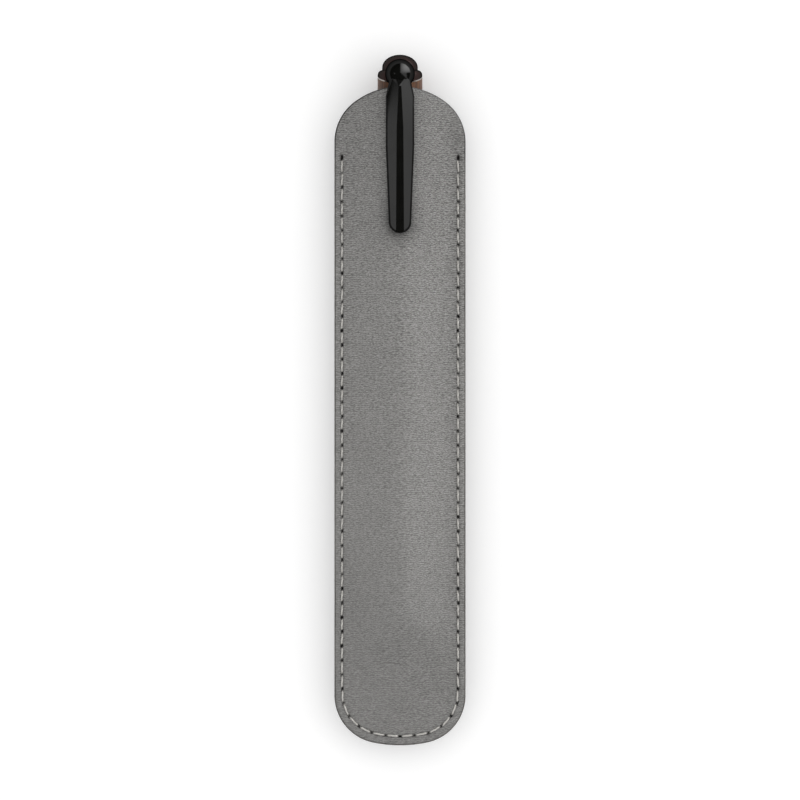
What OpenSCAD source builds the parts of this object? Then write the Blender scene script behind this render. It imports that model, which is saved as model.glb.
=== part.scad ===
// A leather sleeve for one pen, with the closed pen that it holds.
// It lies on its back: X across, Y along towards the mouth, Z up out of the front.
// The origin is under the middle of the whole length, on the table.

/* [Sleeve] */
// Width across the sleeve
sleeve_w = 32.8; // [31:0.2:36]
// Length from the closed end to the top of the mouth's dome
sleeve_l = 164.6; // [155:0.2:180]
// Thickness of each leather
leather_t = 1.4; // [1:0.1:1.8]
// Radius of the mouth's two shoulders
dome_shoulder_r = 12.5; // [9:0.1:13.5]
// Radius of the mouth's crown
dome_crown_r = 19.4; // [18.5:0.1:30]
// Radius of the closed end's two corners
end_shoulder_r = 12.1; // [8:0.1:13.5]
// Radius of the closed end's middle stretch
end_crown_r = 33.6; // [22:0.1:60]
// Thickness of the dressing on the cut edges
edge_coat_t = 0.25; // [0.1:0.05:0.4]

/* [Pocket] */
// Height of the seam above the table
seam_h = 6.2; // [5:0.1:7]
// Width of the flat rim that is outside the pocket
rim_w = 2.8; // [2.4:0.1:3.2]
// Width of the strip of the back that lies on the table
rest_strip_w = 8; // [5:0.5:10]
// Length over which the pocket closes past the pen's end
pocket_fall_l = 14; // [10:0.5:17]
// Clearance between the pen and the leather, and between the leather and the clip
pen_clearance = 0.3; // [0.2:0.05:0.5]

/* [Stitching] */
// Distance from the sleeve's side to the seam
seam_inset = 1.9; // [1.6:0.1:2.2]
// How much further in the seam runs round the closed end
end_seam_shift = 0.4; // [0:0.1:0.8]
// Distance from the top of the dome down to the first needle hole
sewing_drop = 17.9; // [15:0.1:40]
// Distance between needle holes
stitch_pitch = 3.6; // [3:0.1:5]
// Diameter of the thread
thread_d = 0.45; // [0.3:0.05:0.5]
// Diameter of a needle hole
needle_hole_d = 0.95; // [0.7:0.05:1.2]
// Height of a stitch's middle line over the leather
stitch_crest = 0.3; // [0.2:0.05:0.4]
// Depth of a stitch's ends in the leather
stitch_dip = 0.55; // [0.3:0.05:0.7]

/* [Pen] */
// Length of the closed pen
pen_l = 142; // [136:0.5:146]
// How far the pen stands out of the mouth
pen_proud = 8.1; // [6:0.1:12]
// Diameter of the cap
cap_d = 11.2; // [10.6:0.1:11.8]
// Wall of the cap
cap_wall = 0.9; // [0.7:0.1:1.1]
// Diameter of the cap's domed top
finial_d = 8.9; // [8.4:0.1:9.4]
// Height of the dome on the cap's top
finial_dome_h = 3.2; // [2.6:0.1:3.8]
// Distance from the pen's top down to the thin ring, at the pen's middle line
ring_drop = 5.6; // [5:0.1:6.5]
// Slant of the thin ring
ring_slant = 17; // [8:1:20]
// Thickness of the thin ring
ring_t = 0.3; // [0.2:0.05:0.5]
// Length of the cap's metal lip
cap_band_l = 3; // [2:0.1:5]
// Diameter of the barrel beside the cap's lip
barrel_d = 10.6; // [10:0.1:11]
// Diameter of the barrel where its end piece starts
barrel_foot_d = 8.2; // [7.8:0.1:9]
// Length of the barrel's end piece
barrel_end_l = 7; // [5:0.5:9]
// Length of the threaded collar that the cap closes over
collar_l = 8; // [6:0.5:9]
// Length of the grip
grip_l = 22; // [19:0.5:23]
// Length of the grip's tenon, which screws into the barrel
tenon_l = 9; // [7:0.5:11]
// Length of nib that stands out of the grip
nib_l = 19.5; // [17:0.5:20]
// Length of nib inside the grip
nib_seat_l = 5.5; // [4:0.5:7]
// Distance from the nib's tip to the pen's top
cap_head_l = 14.5; // [13.5:0.5:18]
// Room between the nib's tip and the cap's liner
nib_room = 2.7; // [1.5:0.1:4]
// Length of grip that the cap's liner covers
liner_cover_l = 4; // [3:0.5:6]
// Length of the ink cartridge
cartridge_l = 36; // [30:0.5:38]
// Gap between the pen's pieces that turn or slide in each other
turn_gap = 0.1; // [0.05:0.05:0.15]

/* [Clip] */
// Length of the clip, from the top of its head to its tip
clip_l = 43.5; // [38:0.1:50]
// Distance from the pen's top down to the top of the clip's head
clip_head_drop = 1.2; // [0.8:0.1:2]
// Width of the clip
clip_w = 7.1; // [6:0.1:7.2]
// Width of the clip just above its rounded tip
clip_tip_w = 5.6; // [4.6:0.1:6]
// Thickness of the clip at its middle
clip_t = 1.6; // [1.2:0.1:2]
// Diameter of the clip's rounded head
clip_head_d = 7.4; // [7.2:0.1:7.8]
// How far the head stands over the clip's arm
clip_head_proud = 0.15; // [0.1:0.05:0.4]
// Width of the flat along the clip's middle
clip_flat_w = 1.9; // [1.4:0.1:2.4]

/* [Hidden] */

leather_colour = "#838280";
thread_colour = "#c4c2be";
edge_colour = "#55534f";
wood_colour = "#75573f";
black_colour = "#191817";
finial_colour = "#2a1513";
steel_colour = "#c9c9c6";
ink_colour = "#28406e";

// How far a cut runs past what it cuts
over = 1;
// Sides and steps of the curves
round_fn = 64;
hole_fn = 24;
thread_sides = 8;
shoulder_steps = 14;
crown_steps = 6;
section_steps = 12;
fall_steps = 12;
barrel_steps = 8;
grip_steps = 8;
// Angle between the points of a turned dome
dome_step = 10;
cartridge_step = 15;

// Places along Y
half_w = sleeve_w / 2;
whole_l = sleeve_l + pen_proud;
end_y = -whole_l / 2;
mouth_y = end_y + sleeve_l;
pen_top_y = whole_l / 2;
pen_tip_y = pen_top_y - pen_l;
sewing_y = mouth_y - sewing_drop;

// The three-centred arches of the mouth and the closed end
function crown_angle(shoulder_r, crown_r) = asin((half_w - shoulder_r) / (crown_r - shoulder_r));
function arch_rise(shoulder_r, crown_r) =
    crown_r - (crown_r - shoulder_r) * cos(crown_angle(shoulder_r, crown_r));
dome_angle = crown_angle(dome_shoulder_r, dome_crown_r);
end_angle = crown_angle(end_shoulder_r, end_crown_r);
dome_rise = arch_rise(dome_shoulder_r, dome_crown_r);
end_rise = arch_rise(end_shoulder_r, end_crown_r);

function arc(centre, r, from, to, steps) =
    [for (i = [0 : steps]) let (a = from + (to - from) * i / steps) centre + r * [cos(a), sin(a)]];

// Right half of the sleeve's outline, drawn in by inset, from the closed end up to the mouth
function half_outline(inset) = concat(
    arc([0, end_y + end_crown_r], end_crown_r - inset, -90, -90 + end_angle, crown_steps),
    arc([half_w - end_shoulder_r, end_y + end_rise], end_shoulder_r - inset, -90 + end_angle, 0,
        shoulder_steps),
    arc([half_w - dome_shoulder_r, mouth_y - dome_rise], dome_shoulder_r - inset, 0, 90 - dome_angle,
        shoulder_steps),
    arc([0, mouth_y - dome_crown_r], dome_crown_r - inset, 90 - dome_angle, 90, crown_steps));

// Each arc ends where the next one starts, so the second copy of that point is left out
function tidy(points, least) =
    [for (i = [0 : len(points) - 1]) if (i == 0 || norm(points[i] - points[i - 1]) > least) points[i]];
same_point_share = 0.01;
function outline(inset) =
    let (right = tidy(half_outline(inset), edge_coat_t * same_point_share), last = len(right) - 1)
    concat(right, [for (i = [last - 1 : -1 : 1]) [-right[i][0], right[i][1]]]);

// The pocket: 1 at full height, falling to 0 in a smooth wave
function wave(share) = (1 + cos(180 * min(max(share, 0), 1))) / 2;
function wave_slope(share, width) = -PI / (2 * width) * sin(180 * min(max(share, 0), 1));

// How much of the cap's radius the pocket starts to fall before the pen's end
fall_lead_share = 0.25;
cap_r = cap_d / 2;
axis_h = leather_t + pen_clearance + cap_r;
foot_x = half_w - rim_w;
strip_x = rest_strip_w / 2;
front_rise = axis_h + cap_r + pen_clearance - seam_h;
back_rise = seam_h - leather_t;
fall_start_y = pen_tip_y + cap_r * fall_lead_share;
side_x = half_w + over;

function swell(y) = wave((fall_start_y - y) / pocket_fall_l);
function side(u) = u < 0 ? -1 : 1;
function front_z(u, y) = seam_h + front_rise * swell(y) * wave(abs(u) / foot_x);
function front_slope(u, y) = side(u) * front_rise * swell(y) * wave_slope(abs(u) / foot_x, foot_x);
function back_share(u) = (abs(u) - strip_x) / (foot_x - strip_x);
function back_z(u, y) = seam_h - back_rise * swell(y) * wave(back_share(u));
function back_slope(u, y) =
    -side(u) * back_rise * swell(y) * wave_slope(back_share(u), foot_x - strip_x);

// A point a thickness away from the leather's inner face, square to the face
function away(u, y, z, slope, t) = [u - t * slope / norm([1, slope]), y, z + t / norm([1, slope])];

columns = concat([-side_x],
    [for (i = [-section_steps : section_steps]) foot_x * i / section_steps],
    [side_x]);
rows = concat([end_y - over],
    [for (i = [fall_steps : -1 : 0]) fall_start_y - pocket_fall_l * i / fall_steps],
    [mouth_y + over]);

// A closed slab between an upper and a lower grid of points
module slab(upper, lower) {
    n_row = len(upper);
    n_col = len(upper[0]);
    low = n_row * n_col;
    function quad(a, b, c, d) = [[a, b, c], [a, c, d]];
    function flip(faces) = [for (f = faces) [f[2], f[1], f[0]]];
    skin = [for (r = [0 : n_row - 2], c = [0 : n_col - 2])
        each quad(r * n_col + c, (r + 1) * n_col + c, (r + 1) * n_col + c + 1, r * n_col + c + 1)];
    under = flip([for (f = skin) f + [low, low, low]]);
    last = (n_row - 1) * n_col;
    near = [for (c = [0 : n_col - 2]) each quad(low + c, c, c + 1, low + c + 1)];
    far = flip([for (c = [0 : n_col - 2])
        each quad(low + last + c, last + c, last + c + 1, low + last + c + 1)]);
    edge = n_col - 1;
    right = [for (r = [0 : n_row - 2]) each quad(low + r * n_col + edge, r * n_col + edge,
        (r + 1) * n_col + edge, low + (r + 1) * n_col + edge)];
    left = flip([for (r = [0 : n_row - 2])
        each quad(low + r * n_col, r * n_col, (r + 1) * n_col, low + (r + 1) * n_col)]);
    polyhedron([for (row = concat(upper, lower)) each row], concat(skin, under, near, far, right, left));
}

module front_leather() {
    slab([for (y = rows) [for (u = columns) away(u, y, front_z(u, y), front_slope(u, y), leather_t)]],
        [for (y = rows) [for (u = columns) [u, y, front_z(u, y)]]]);
}

module back_leather() {
    slab([for (y = rows) [for (u = columns) [u, y, back_z(u, y)]]],
        [for (y = rows) [for (u = columns) away(u, y, back_z(u, y), back_slope(u, y), -leather_t)]]);
}

tall = 2 * (axis_h + cap_r + leather_t);

// An upright prism of the sleeve's outline, drawn in by inset
module outline_prism(inset) {
    translate([0, 0, -over]) linear_extrude(height = tall + over) polygon(outline(inset));
}

// The thin upright band along the outline that the edge dressing fills
module edge_band(from_y, to_y) {
    intersection() {
        difference() {
            polygon(outline(0));
            polygon(outline(edge_coat_t));
        }
        translate([-side_x, from_y]) square([2 * side_x, to_y - from_y]);
    }
}

// The seam: a half of it, by the distance from the middle of the closed end
seam_side_x = half_w - seam_inset;
seam_crown_r = end_crown_r - seam_inset;
seam_shoulder_r = end_shoulder_r - seam_inset;
seam_end_y = end_y + end_seam_shift;
seam_crown_l = seam_crown_r * end_angle * PI / 180;
seam_corner_l = seam_shoulder_r * (90 - end_angle) * PI / 180;
seam_half_l = seam_crown_l + seam_corner_l + sewing_y - seam_end_y - end_rise;
function seam_half(s) =
    s < seam_crown_l ?
        let (a = -90 + s / seam_crown_r * 180 / PI)
        [0, seam_end_y + end_crown_r] + seam_crown_r * [cos(a), sin(a)] :
    s < seam_crown_l + seam_corner_l ?
        let (a = -90 + end_angle + (s - seam_crown_l) / seam_shoulder_r * 180 / PI)
        [half_w - end_shoulder_r, seam_end_y + end_rise] + seam_shoulder_r * [cos(a), sin(a)] :
    [seam_side_x, seam_end_y + end_rise + s - seam_crown_l - seam_corner_l];

half_stitches = round(seam_half_l / stitch_pitch);
stitch_step = seam_half_l / half_stitches;
function needle_hole(i) = let (p = seam_half(abs(i) * stitch_step)) [side(i) * p[0], p[1]];

module needle_holes() {
    for (i = [-half_stitches : half_stitches])
        translate([needle_hole(i)[0], needle_hole(i)[1], seam_h - leather_t - over])
            cylinder(h = 2 * (leather_t + over), d = needle_hole_d, $fn = hole_fn);
}

// One stitch is an arc of thread that rises out of one hole and goes down into the next.
// In the hole it stops short of its neighbour by this share of the thread's diameter
stitch_gap_share = 0.08;
stitch_reach = (stitch_step - thread_d) / 2 - thread_d * stitch_gap_share;
stitch_sag = stitch_crest + stitch_dip;
stitch_r = (stitch_reach * stitch_reach + stitch_sag * stitch_sag) / (2 * stitch_sag);
stitch_angle = asin(stitch_reach / stitch_r);

module stitch(middle) {
    rotate([90, 0, 0]) translate([0, middle * (stitch_crest - stitch_r), 0])
        rotate([0, 0, middle * 90 - stitch_angle])
            rotate_extrude(angle = 2 * stitch_angle, $fn = round_fn) translate([stitch_r, 0])
                circle(d = thread_d, $fn = thread_sides);
}

// A row of stitches on the upper face, where middle is 1, or the lower, where it is -1
module stitch_row(middle) {
    for (i = [-half_stitches : half_stitches - 1]) {
        from = needle_hole(i);
        to = needle_hole(i + 1);
        heading = atan2(to[1] - from[1], to[0] - from[0]);
        translate([(from[0] + to[0]) / 2, (from[1] + to[1]) / 2, seam_h + middle * leather_t])
            rotate([0, 0, heading]) stitch(middle);
    }
}

module front_panel() color(leather_colour) difference() {
    intersection() {
        front_leather();
        outline_prism(edge_coat_t);
    }
    needle_holes();
}

module back_panel() color(leather_colour) difference() {
    intersection() {
        back_leather();
        outline_prism(edge_coat_t);
    }
    needle_holes();
}

module needle_thread() color(thread_colour) stitch_row(1);

module bobbin_thread() color(thread_colour) stitch_row(-1);

module seam_edge_paint() color(edge_colour)
    translate([0, 0, seam_h - leather_t]) linear_extrude(height = 2 * leather_t)
        edge_band(end_y - over, sewing_y);

module front_mouth_edge_paint() color(edge_colour) intersection() {
    front_leather();
    linear_extrude(height = tall) edge_band(sewing_y, mouth_y + over);
}

module back_mouth_edge_paint() color(edge_colour) intersection() {
    back_leather();
    translate([0, 0, -over]) linear_extrude(height = tall) edge_band(sewing_y, mouth_y + over);
}

// Shares of the cap's wall and bore, the collar and the finial
liner_wall_share = 0.5;
tenon_share = 0.8;
stud_share = 0.45;
// The pen's places along Y, and its radii
cap_l = collar_l + grip_l + nib_l + cap_head_l;
lip_y = pen_top_y - cap_l;
collar_y = lip_y + collar_l;
grip_y = collar_y + grip_l;
nib_tip_y = grip_y + nib_l;
ring_y = pen_top_y - ring_drop;
finial_r = finial_d / 2;
cap_bore_r = cap_r - cap_wall;
collar_r = cap_bore_r - pen_clearance;
tenon_r = collar_r * tenon_share;
tenon_y = collar_y - tenon_l;
tenon_bore_r = tenon_r + turn_gap;
liner_wall = cap_wall * liner_wall_share;
liner_r = cap_bore_r - liner_wall;
liner_y = grip_y - liner_cover_l;
liner_top_y = nib_tip_y + nib_room;
web_y = liner_top_y + liner_wall + turn_gap;
stud_bore_r = finial_r * stud_share;
stud_r = stud_bore_r - turn_gap;

// A shape turned about the pen's middle line, from points of radius and Y
module turned(points) {
    translate([0, 0, axis_h]) rotate([-90, 0, 0]) rotate_extrude($fn = round_fn) polygon(points);
}

// Everything on the mouth's side of a plane that slants like the ring, or on the other side
module slanted_side(rise, beyond) {
    translate([0, ring_y + rise, axis_h]) rotate([ring_slant, 0, 0])
        translate([-cap_d, beyond ? 0 : -2 * cap_d, -cap_d]) cube(2 * cap_d);
}

// The clip: a rounded head that turns in the cap's top, and an arm with a flat along its middle
clip_edge_share = 0.35;
clip_taper_share = 0.5;
clip_head_r = clip_head_d / 2;
clip_head_y = pen_top_y - clip_head_drop - clip_head_r;
clip_under_z = axis_h + cap_r + leather_t + 2 * pen_clearance;
clip_top_z = clip_under_z + clip_t;
clip_edge_z = clip_under_z + clip_t * clip_edge_share;
clip_head_z = clip_top_z + clip_head_proud - clip_head_r;
clip_side_x = clip_w / 2;
clip_flat_x = clip_flat_w / 2;
clip_tip_r = clip_tip_w / 2;
clip_tip_y = clip_head_y + clip_head_r - clip_l;
clip_taper_y = clip_tip_y + clip_l * clip_taper_share;

// The clip's head, or the hollow for it
module clip_ball(gap) {
    translate([0, clip_head_y, clip_head_z]) rotate([0, 90, 0])
        sphere(r = clip_head_r + gap, $fn = round_fn);
}

module clip_plan() {
    tip_centre_y = clip_tip_y + clip_tip_r;
    polygon([[-clip_side_x, clip_head_y], [-clip_side_x, clip_taper_y], [-clip_tip_r, tip_centre_y],
        [clip_tip_r, tip_centre_y], [clip_side_x, clip_taper_y], [clip_side_x, clip_head_y]]);
    translate([0, tip_centre_y]) circle(r = clip_tip_r, $fn = round_fn);
}

// Below the arm the head is cut flat, clear of the leather's edge
module clip() color(black_colour) {
    intersection() {
        translate([0, 0, clip_under_z]) linear_extrude(height = clip_t) clip_plan();
        translate([0, clip_head_y, 0]) rotate([90, 0, 0]) linear_extrude(height = clip_l)
            polygon([[-clip_side_x, clip_under_z], [clip_side_x, clip_under_z],
                [clip_side_x, clip_edge_z], [clip_flat_x, clip_top_z], [-clip_flat_x, clip_top_z],
                [-clip_side_x, clip_edge_z]]);
    }
    intersection() {
        clip_ball(0);
        translate([-clip_head_d, mouth_y + pen_clearance, 0]) cube([2 * clip_head_d, whole_l, tall]);
    }
}

module cap_tube() color(wood_colour) difference() {
    turned([[cap_bore_r, lip_y + cap_band_l], [cap_r, lip_y + cap_band_l], [cap_r, pen_top_y],
        [stud_bore_r, pen_top_y], [stud_bore_r, web_y], [cap_bore_r, web_y]]);
    slanted_side(0, true);
    clip_ball(turn_gap);
}

module cap_ring() color(steel_colour) difference() {
    turned([[stud_bore_r, web_y], [cap_r, web_y], [cap_r, pen_top_y], [stud_bore_r, pen_top_y]]);
    slanted_side(0, false);
    slanted_side(ring_t, true);
    clip_ball(turn_gap);
}

// The finial's shoulder: the part of its width that is left, and how many widths under the dome
shoulder_shares = [[1, 2], [0.875, 1.5]];
finial_shoulder = cap_r - finial_r;
dome_foot_y = pen_top_y - finial_dome_h;
ring_low_y = ring_y - cap_r * tan(ring_slant);
finial_profile = concat(
    [[0, web_y], [stud_r, web_y], [stud_r, ring_low_y], [cap_r, ring_low_y]],
    [for (share = shoulder_shares)
        [finial_r + finial_shoulder * share[0], dome_foot_y - finial_shoulder * share[1]]],
    [for (a = [0 : dome_step : 90]) [finial_r * cos(a), dome_foot_y + finial_dome_h * sin(a)]]);

module cap_finial() color(finial_colour) difference() {
    turned(finial_profile);
    intersection() {
        slanted_side(ring_t, false);
        turned([[stud_r, web_y - over], [cap_d, web_y - over], [cap_d, pen_top_y], [stud_r, pen_top_y]]);
    }
    clip_ball(turn_gap);
}

module cap_band() color(steel_colour) turned([[cap_bore_r, lip_y], [cap_r, lip_y],
    [cap_r, lip_y + cap_band_l], [cap_bore_r, lip_y + cap_band_l]]);

module inner_cap() color(black_colour) turned([[liner_r, liner_y], [cap_bore_r, liner_y],
    [cap_bore_r, liner_top_y + liner_wall], [0, liner_top_y + liner_wall], [0, liner_top_y],
    [liner_r, liner_top_y]]);

// The barrel thins towards its foot
barrel_taper_power = 1.8;
barrel_end_power = 0.7;
cartridge_r = tenon_r - 2 * turn_gap;
cartridge_y = tenon_y - cartridge_l;
bore_end_y = cartridge_y - cap_wall;
barrel_r = barrel_d / 2;
barrel_foot_r = barrel_foot_d / 2;
barrel_foot_y = pen_tip_y + barrel_end_l;
barrel_shoulder_y = lip_y - turn_gap;
function barrel_radius(share) = barrel_r - (barrel_r - barrel_foot_r) * pow(share, barrel_taper_power);

module barrel_tube() color(wood_colour) turned(concat(
    [for (i = [barrel_steps : -1 : 0]) let (share = i / barrel_steps)
        [barrel_radius(share), barrel_shoulder_y - (barrel_shoulder_y - barrel_foot_y) * share]],
    [[collar_r, barrel_shoulder_y], [collar_r, collar_y], [tenon_bore_r, collar_y],
        [tenon_bore_r, bore_end_y], [0, bore_end_y], [0, barrel_foot_y]]));

module barrel_end() color(black_colour) turned(concat([[0, barrel_foot_y]],
    [for (a = [0 : dome_step : 90])
        [barrel_foot_r * pow(cos(a), barrel_end_power), barrel_foot_y - barrel_end_l * sin(a)]]));

// The grip is drawn in at its waist and flares to a lip before the nib
grip_waist_share = 0.16;
nib_share = 0.78;
grip_foot_y = collar_y + turn_gap + ring_t;
grip_lip_r = liner_r - pen_clearance;
nib_r = grip_lip_r * nib_share;
nib_seat_y = grip_y - nib_seat_l;
nib_seat_r = nib_r + turn_gap / 2;

module grip_section() color(black_colour) turned(concat(
    [[0, tenon_y], [tenon_r, tenon_y], [tenon_r, grip_foot_y]],
    [for (i = [0 : grip_steps]) let (share = i / grip_steps)
        [collar_r + (grip_lip_r - collar_r) * share - collar_r * grip_waist_share * sin(180 * share),
            grip_foot_y + (grip_y - grip_foot_y) * share]],
    [[nib_seat_r, grip_y], [nib_seat_r, nib_seat_y], [0, nib_seat_y]]));

module section_ring() color(steel_colour) turned([[tenon_r, collar_y + turn_gap],
    [collar_r, collar_y + turn_gap], [collar_r, grip_foot_y], [tenon_r, grip_foot_y]]);

module ink_cartridge() color(ink_colour) turned(concat(
    [[0, tenon_y], [cartridge_r / 2, tenon_y], [cartridge_r, tenon_y - cartridge_r / 2]],
    [for (a = [0 : cartridge_step : 90])
        [cartridge_r * cos(a), cartridge_y + cartridge_r / 2 * (1 - sin(a))]]));

// The nib is a part of a thin cone over the feed, with a slit from a small breather hole
nib_t = 0.35;
slit_w = 0.12;
nib_tip_share = 0.33;
nib_shoulder_share = 0.4;
nib_tip_r = nib_r * nib_tip_share;
nib_shoulder_y = grip_y + nib_l * nib_shoulder_share;

module nib_cone(shrink) {
    turned([[0, nib_seat_y], [nib_r - shrink, nib_seat_y], [nib_r - shrink, grip_y],
        [nib_tip_r - shrink, nib_tip_y], [0, nib_tip_y]]);
}

module nib_plan() {
    difference() {
        polygon([[-nib_r, nib_seat_y], [nib_r, nib_seat_y], [nib_r, nib_shoulder_y],
            [2 * slit_w, nib_tip_y], [-2 * slit_w, nib_tip_y], [-nib_r, nib_shoulder_y]]);
        translate([-slit_w / 2, nib_shoulder_y]) square([slit_w, nib_l]);
        translate([0, nib_shoulder_y]) circle(r = nib_t, $fn = hole_fn);
    }
}

module nib() color(steel_colour) intersection() {
    difference() {
        nib_cone(0);
        nib_cone(nib_t);
    }
    translate([0, 0, axis_h]) linear_extrude(height = cap_r) nib_plan();
}

// The feed is ribbed underneath
fin_pitch = 0.8;
feed_share = 0.75;
fin_stretch_share = 0.52;
fin_depth_share = 0.33;
feed_tip_y = grip_y + nib_l * feed_share;
fin_end_y = grip_y + nib_l * fin_stretch_share;
fin_floor_z = axis_h - nib_r * fin_depth_share;

module feed() color(black_colour) difference() {
    intersection() {
        nib_cone(nib_t + turn_gap / 2);
        translate([-cap_r, nib_seat_y, 0]) cube([cap_d, feed_tip_y - nib_seat_y, tall]);
    }
    for (y = [grip_y + fin_pitch : 2 * fin_pitch : fin_end_y])
        translate([-cap_r, y, fin_floor_z - cap_d]) cube([cap_d, fin_pitch, cap_d]);
}

front_panel();
back_panel();
needle_thread();
bobbin_thread();
seam_edge_paint();
front_mouth_edge_paint();
back_mouth_edge_paint();
cap_tube();
cap_finial();
cap_ring();
cap_band();
inner_cap();
clip();
barrel_tube();
barrel_end();
grip_section();
section_ring();
feed();
nib();
ink_cartridge();
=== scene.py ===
import math
import random

import bmesh
import bpy
from mathutils import Matrix, Vector, kdtree, noise


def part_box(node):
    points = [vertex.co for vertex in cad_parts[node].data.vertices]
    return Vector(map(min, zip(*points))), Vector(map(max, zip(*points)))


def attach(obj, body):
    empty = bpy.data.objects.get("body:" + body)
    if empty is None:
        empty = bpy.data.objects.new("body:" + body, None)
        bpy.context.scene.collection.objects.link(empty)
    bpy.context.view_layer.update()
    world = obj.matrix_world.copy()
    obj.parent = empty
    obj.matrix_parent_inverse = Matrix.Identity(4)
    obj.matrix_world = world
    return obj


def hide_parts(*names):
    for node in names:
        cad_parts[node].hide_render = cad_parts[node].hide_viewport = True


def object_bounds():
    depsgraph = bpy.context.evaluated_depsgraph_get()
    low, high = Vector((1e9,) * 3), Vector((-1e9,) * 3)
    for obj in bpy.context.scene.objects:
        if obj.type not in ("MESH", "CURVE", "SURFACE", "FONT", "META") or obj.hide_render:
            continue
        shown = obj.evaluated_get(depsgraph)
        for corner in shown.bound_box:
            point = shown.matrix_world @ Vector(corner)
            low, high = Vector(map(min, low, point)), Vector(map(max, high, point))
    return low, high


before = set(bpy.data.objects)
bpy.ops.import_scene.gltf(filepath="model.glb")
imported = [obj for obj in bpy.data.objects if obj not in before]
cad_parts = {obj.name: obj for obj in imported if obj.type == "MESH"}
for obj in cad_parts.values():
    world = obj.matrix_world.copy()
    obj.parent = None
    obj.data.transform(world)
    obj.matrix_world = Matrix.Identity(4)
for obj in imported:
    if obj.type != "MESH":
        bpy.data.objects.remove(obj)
cad_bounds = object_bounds()

# Lengths are in metres, and so a length in millimetres is a number times MM
MM = 0.001
# Closer points than this are one point
SAME_POINT = 0.0005 * MM

# The sleeve's sizes that the frame gives
band_low, band_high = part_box("seam_edge_paint")
HALF_W = band_high.x
END_Y = band_low.y
SEWING_Y = band_high.y
SEAM_Z = (band_low.z + band_high.z) / 2
LEATHER_T = (band_high.z - band_low.z) / 2
COAT_T = HALF_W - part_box("front_panel")[1].x
MOUTH_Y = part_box("front_mouth_edge_paint")[1].y

# The sleeve's curves, as in the construction. The pocket falls to nothing over POCKET_FALL_L.
DOME_SHOULDER_R = 12.5 * MM
DOME_CROWN_R = 19.4 * MM
END_SHOULDER_R = 12.1 * MM
END_CROWN_R = 33.6 * MM
RIM_W = 2.8 * MM
REST_STRIP_W = 8 * MM
POCKET_FALL_L = 14 * MM
FOOT_X = HALF_W - RIM_W
STRIP_X = REST_STRIP_W / 2

# The seam, as in the construction
SEAM_INSET = 1.9 * MM
END_SEAM_SHIFT = 0.4 * MM
STITCH_PITCH = 3.6 * MM
THREAD_D = 0.45 * MM
STITCH_CREST = 0.3 * MM
STITCH_DIP = 0.55 * MM

# The pen: its middle line is at x = 0, at the height PEN_Z
cap_low, cap_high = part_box("cap_tube")
CAP_R = cap_high.x
PEN_Z = cap_low.z + CAP_R
PEN_TOP_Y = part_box("cap_finial")[1].y
PEN_TIP_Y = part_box("barrel_end")[0].y
LIP_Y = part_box("cap_band")[0].y
BAND_TOP_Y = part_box("cap_band")[1].y
WEB_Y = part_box("cap_finial")[0].y
FINIAL_R = 4.45 * MM
FINIAL_DOME_H = 3.2 * MM
STUD_R = 1.9 * MM
# The gap round a part that fits in another, and the wall of the cap
TURN_GAP = 0.1 * MM
CAP_WALL_T = 0.9 * MM
CAP_BORE_R = CAP_R - CAP_WALL_T
RING_Y = PEN_TOP_Y - 5.6 * MM
RING_T = 0.3 * MM
RING_SLANT = math.radians(17)
BARREL_R = 5.3 * MM
BARREL_FOOT_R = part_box("barrel_end")[1].x
BARREL_FOOT_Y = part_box("barrel_end")[1].y
COLLAR_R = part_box("section_ring")[1].x
COLLAR_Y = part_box("barrel_tube")[1].y
GRIP_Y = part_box("grip_section")[1].y
TENON_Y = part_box("grip_section")[0].y
TENON_R = 3.52 * MM
GRIP_LIP_R = 3.95 * MM
# The barrel's bore goes on past the end of the cartridge
CARTRIDGE_ROOM = 0.9 * MM
BORE_END_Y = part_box("ink_cartridge")[0].y - CARTRIDGE_ROOM

# The clip: its arm widens from the tip up to CLIP_TAPER_Y, and its head stands proud of it
CLIP_HEAD_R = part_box("clip")[1].x
CLIP_TOP_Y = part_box("clip")[1].y
CLIP_HEAD_Y = CLIP_TOP_Y - CLIP_HEAD_R
CLIP_HEAD_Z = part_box("clip")[1].z - CLIP_HEAD_R
CLIP_TIP_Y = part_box("clip")[0].y
CLIP_HEAD_PROUD = 0.15 * MM
CLIP_T = 1.6 * MM
CLIP_SIDE_X = 3.55 * MM
CLIP_TIP_R = 2.8 * MM
CLIP_TAPER_Y = CLIP_TIP_Y + 21.75 * MM
CLIP_TOP_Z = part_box("clip")[1].z - CLIP_HEAD_PROUD
CLIP_UNDER_Z = CLIP_TOP_Z - CLIP_T

# How far the pocket stands out behind and in front, and where it starts to fall
BACK_RISE = SEAM_Z - LEATHER_T
FRONT_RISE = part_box("front_panel")[1].z - LEATHER_T - SEAM_Z
FALL_START_Y = PEN_TIP_Y + CAP_R / 4

# The object's middle, which the camera looks at
MIDDLE = (cad_bounds[0] + cad_bounds[1]) / 2


# Colours and nodes

def linear(hex_colour, alpha=1.0):
    """An sRGB hex colour as linear red, green, blue and alpha."""
    parts = [int(hex_colour[i:i + 2], 16) / 255 for i in (1, 3, 5)]
    return tuple(c / 12.92 if c <= 0.04045 else ((c + 0.055) / 1.055) ** 2.4 for c in parts) + (alpha,)


def per_mm(x, y, z):
    """The mapping scale at which a pattern's features are x, y and z millimetres wide."""
    return (1 / (x * MM), 1 / (y * MM), 1 / (z * MM))


def add(tree, kind, inputs=(), **settings):
    """A new node with its settings. An input is a value, or another node's output to link to."""
    made = tree.nodes.new(kind)
    for name, value in settings.items():
        setattr(made, name, value)
    for socket, value in dict(inputs).items():
        if isinstance(value, bpy.types.NodeSocket):
            tree.links.new(value, made.inputs[socket])
        else:
            made.inputs[socket].default_value = value
    return made


# Socket numbers of a colour mix: its factor, its two colours and its result
FACTOR, FIRST, SECOND, MIXED = 0, 6, 7, 2


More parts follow.
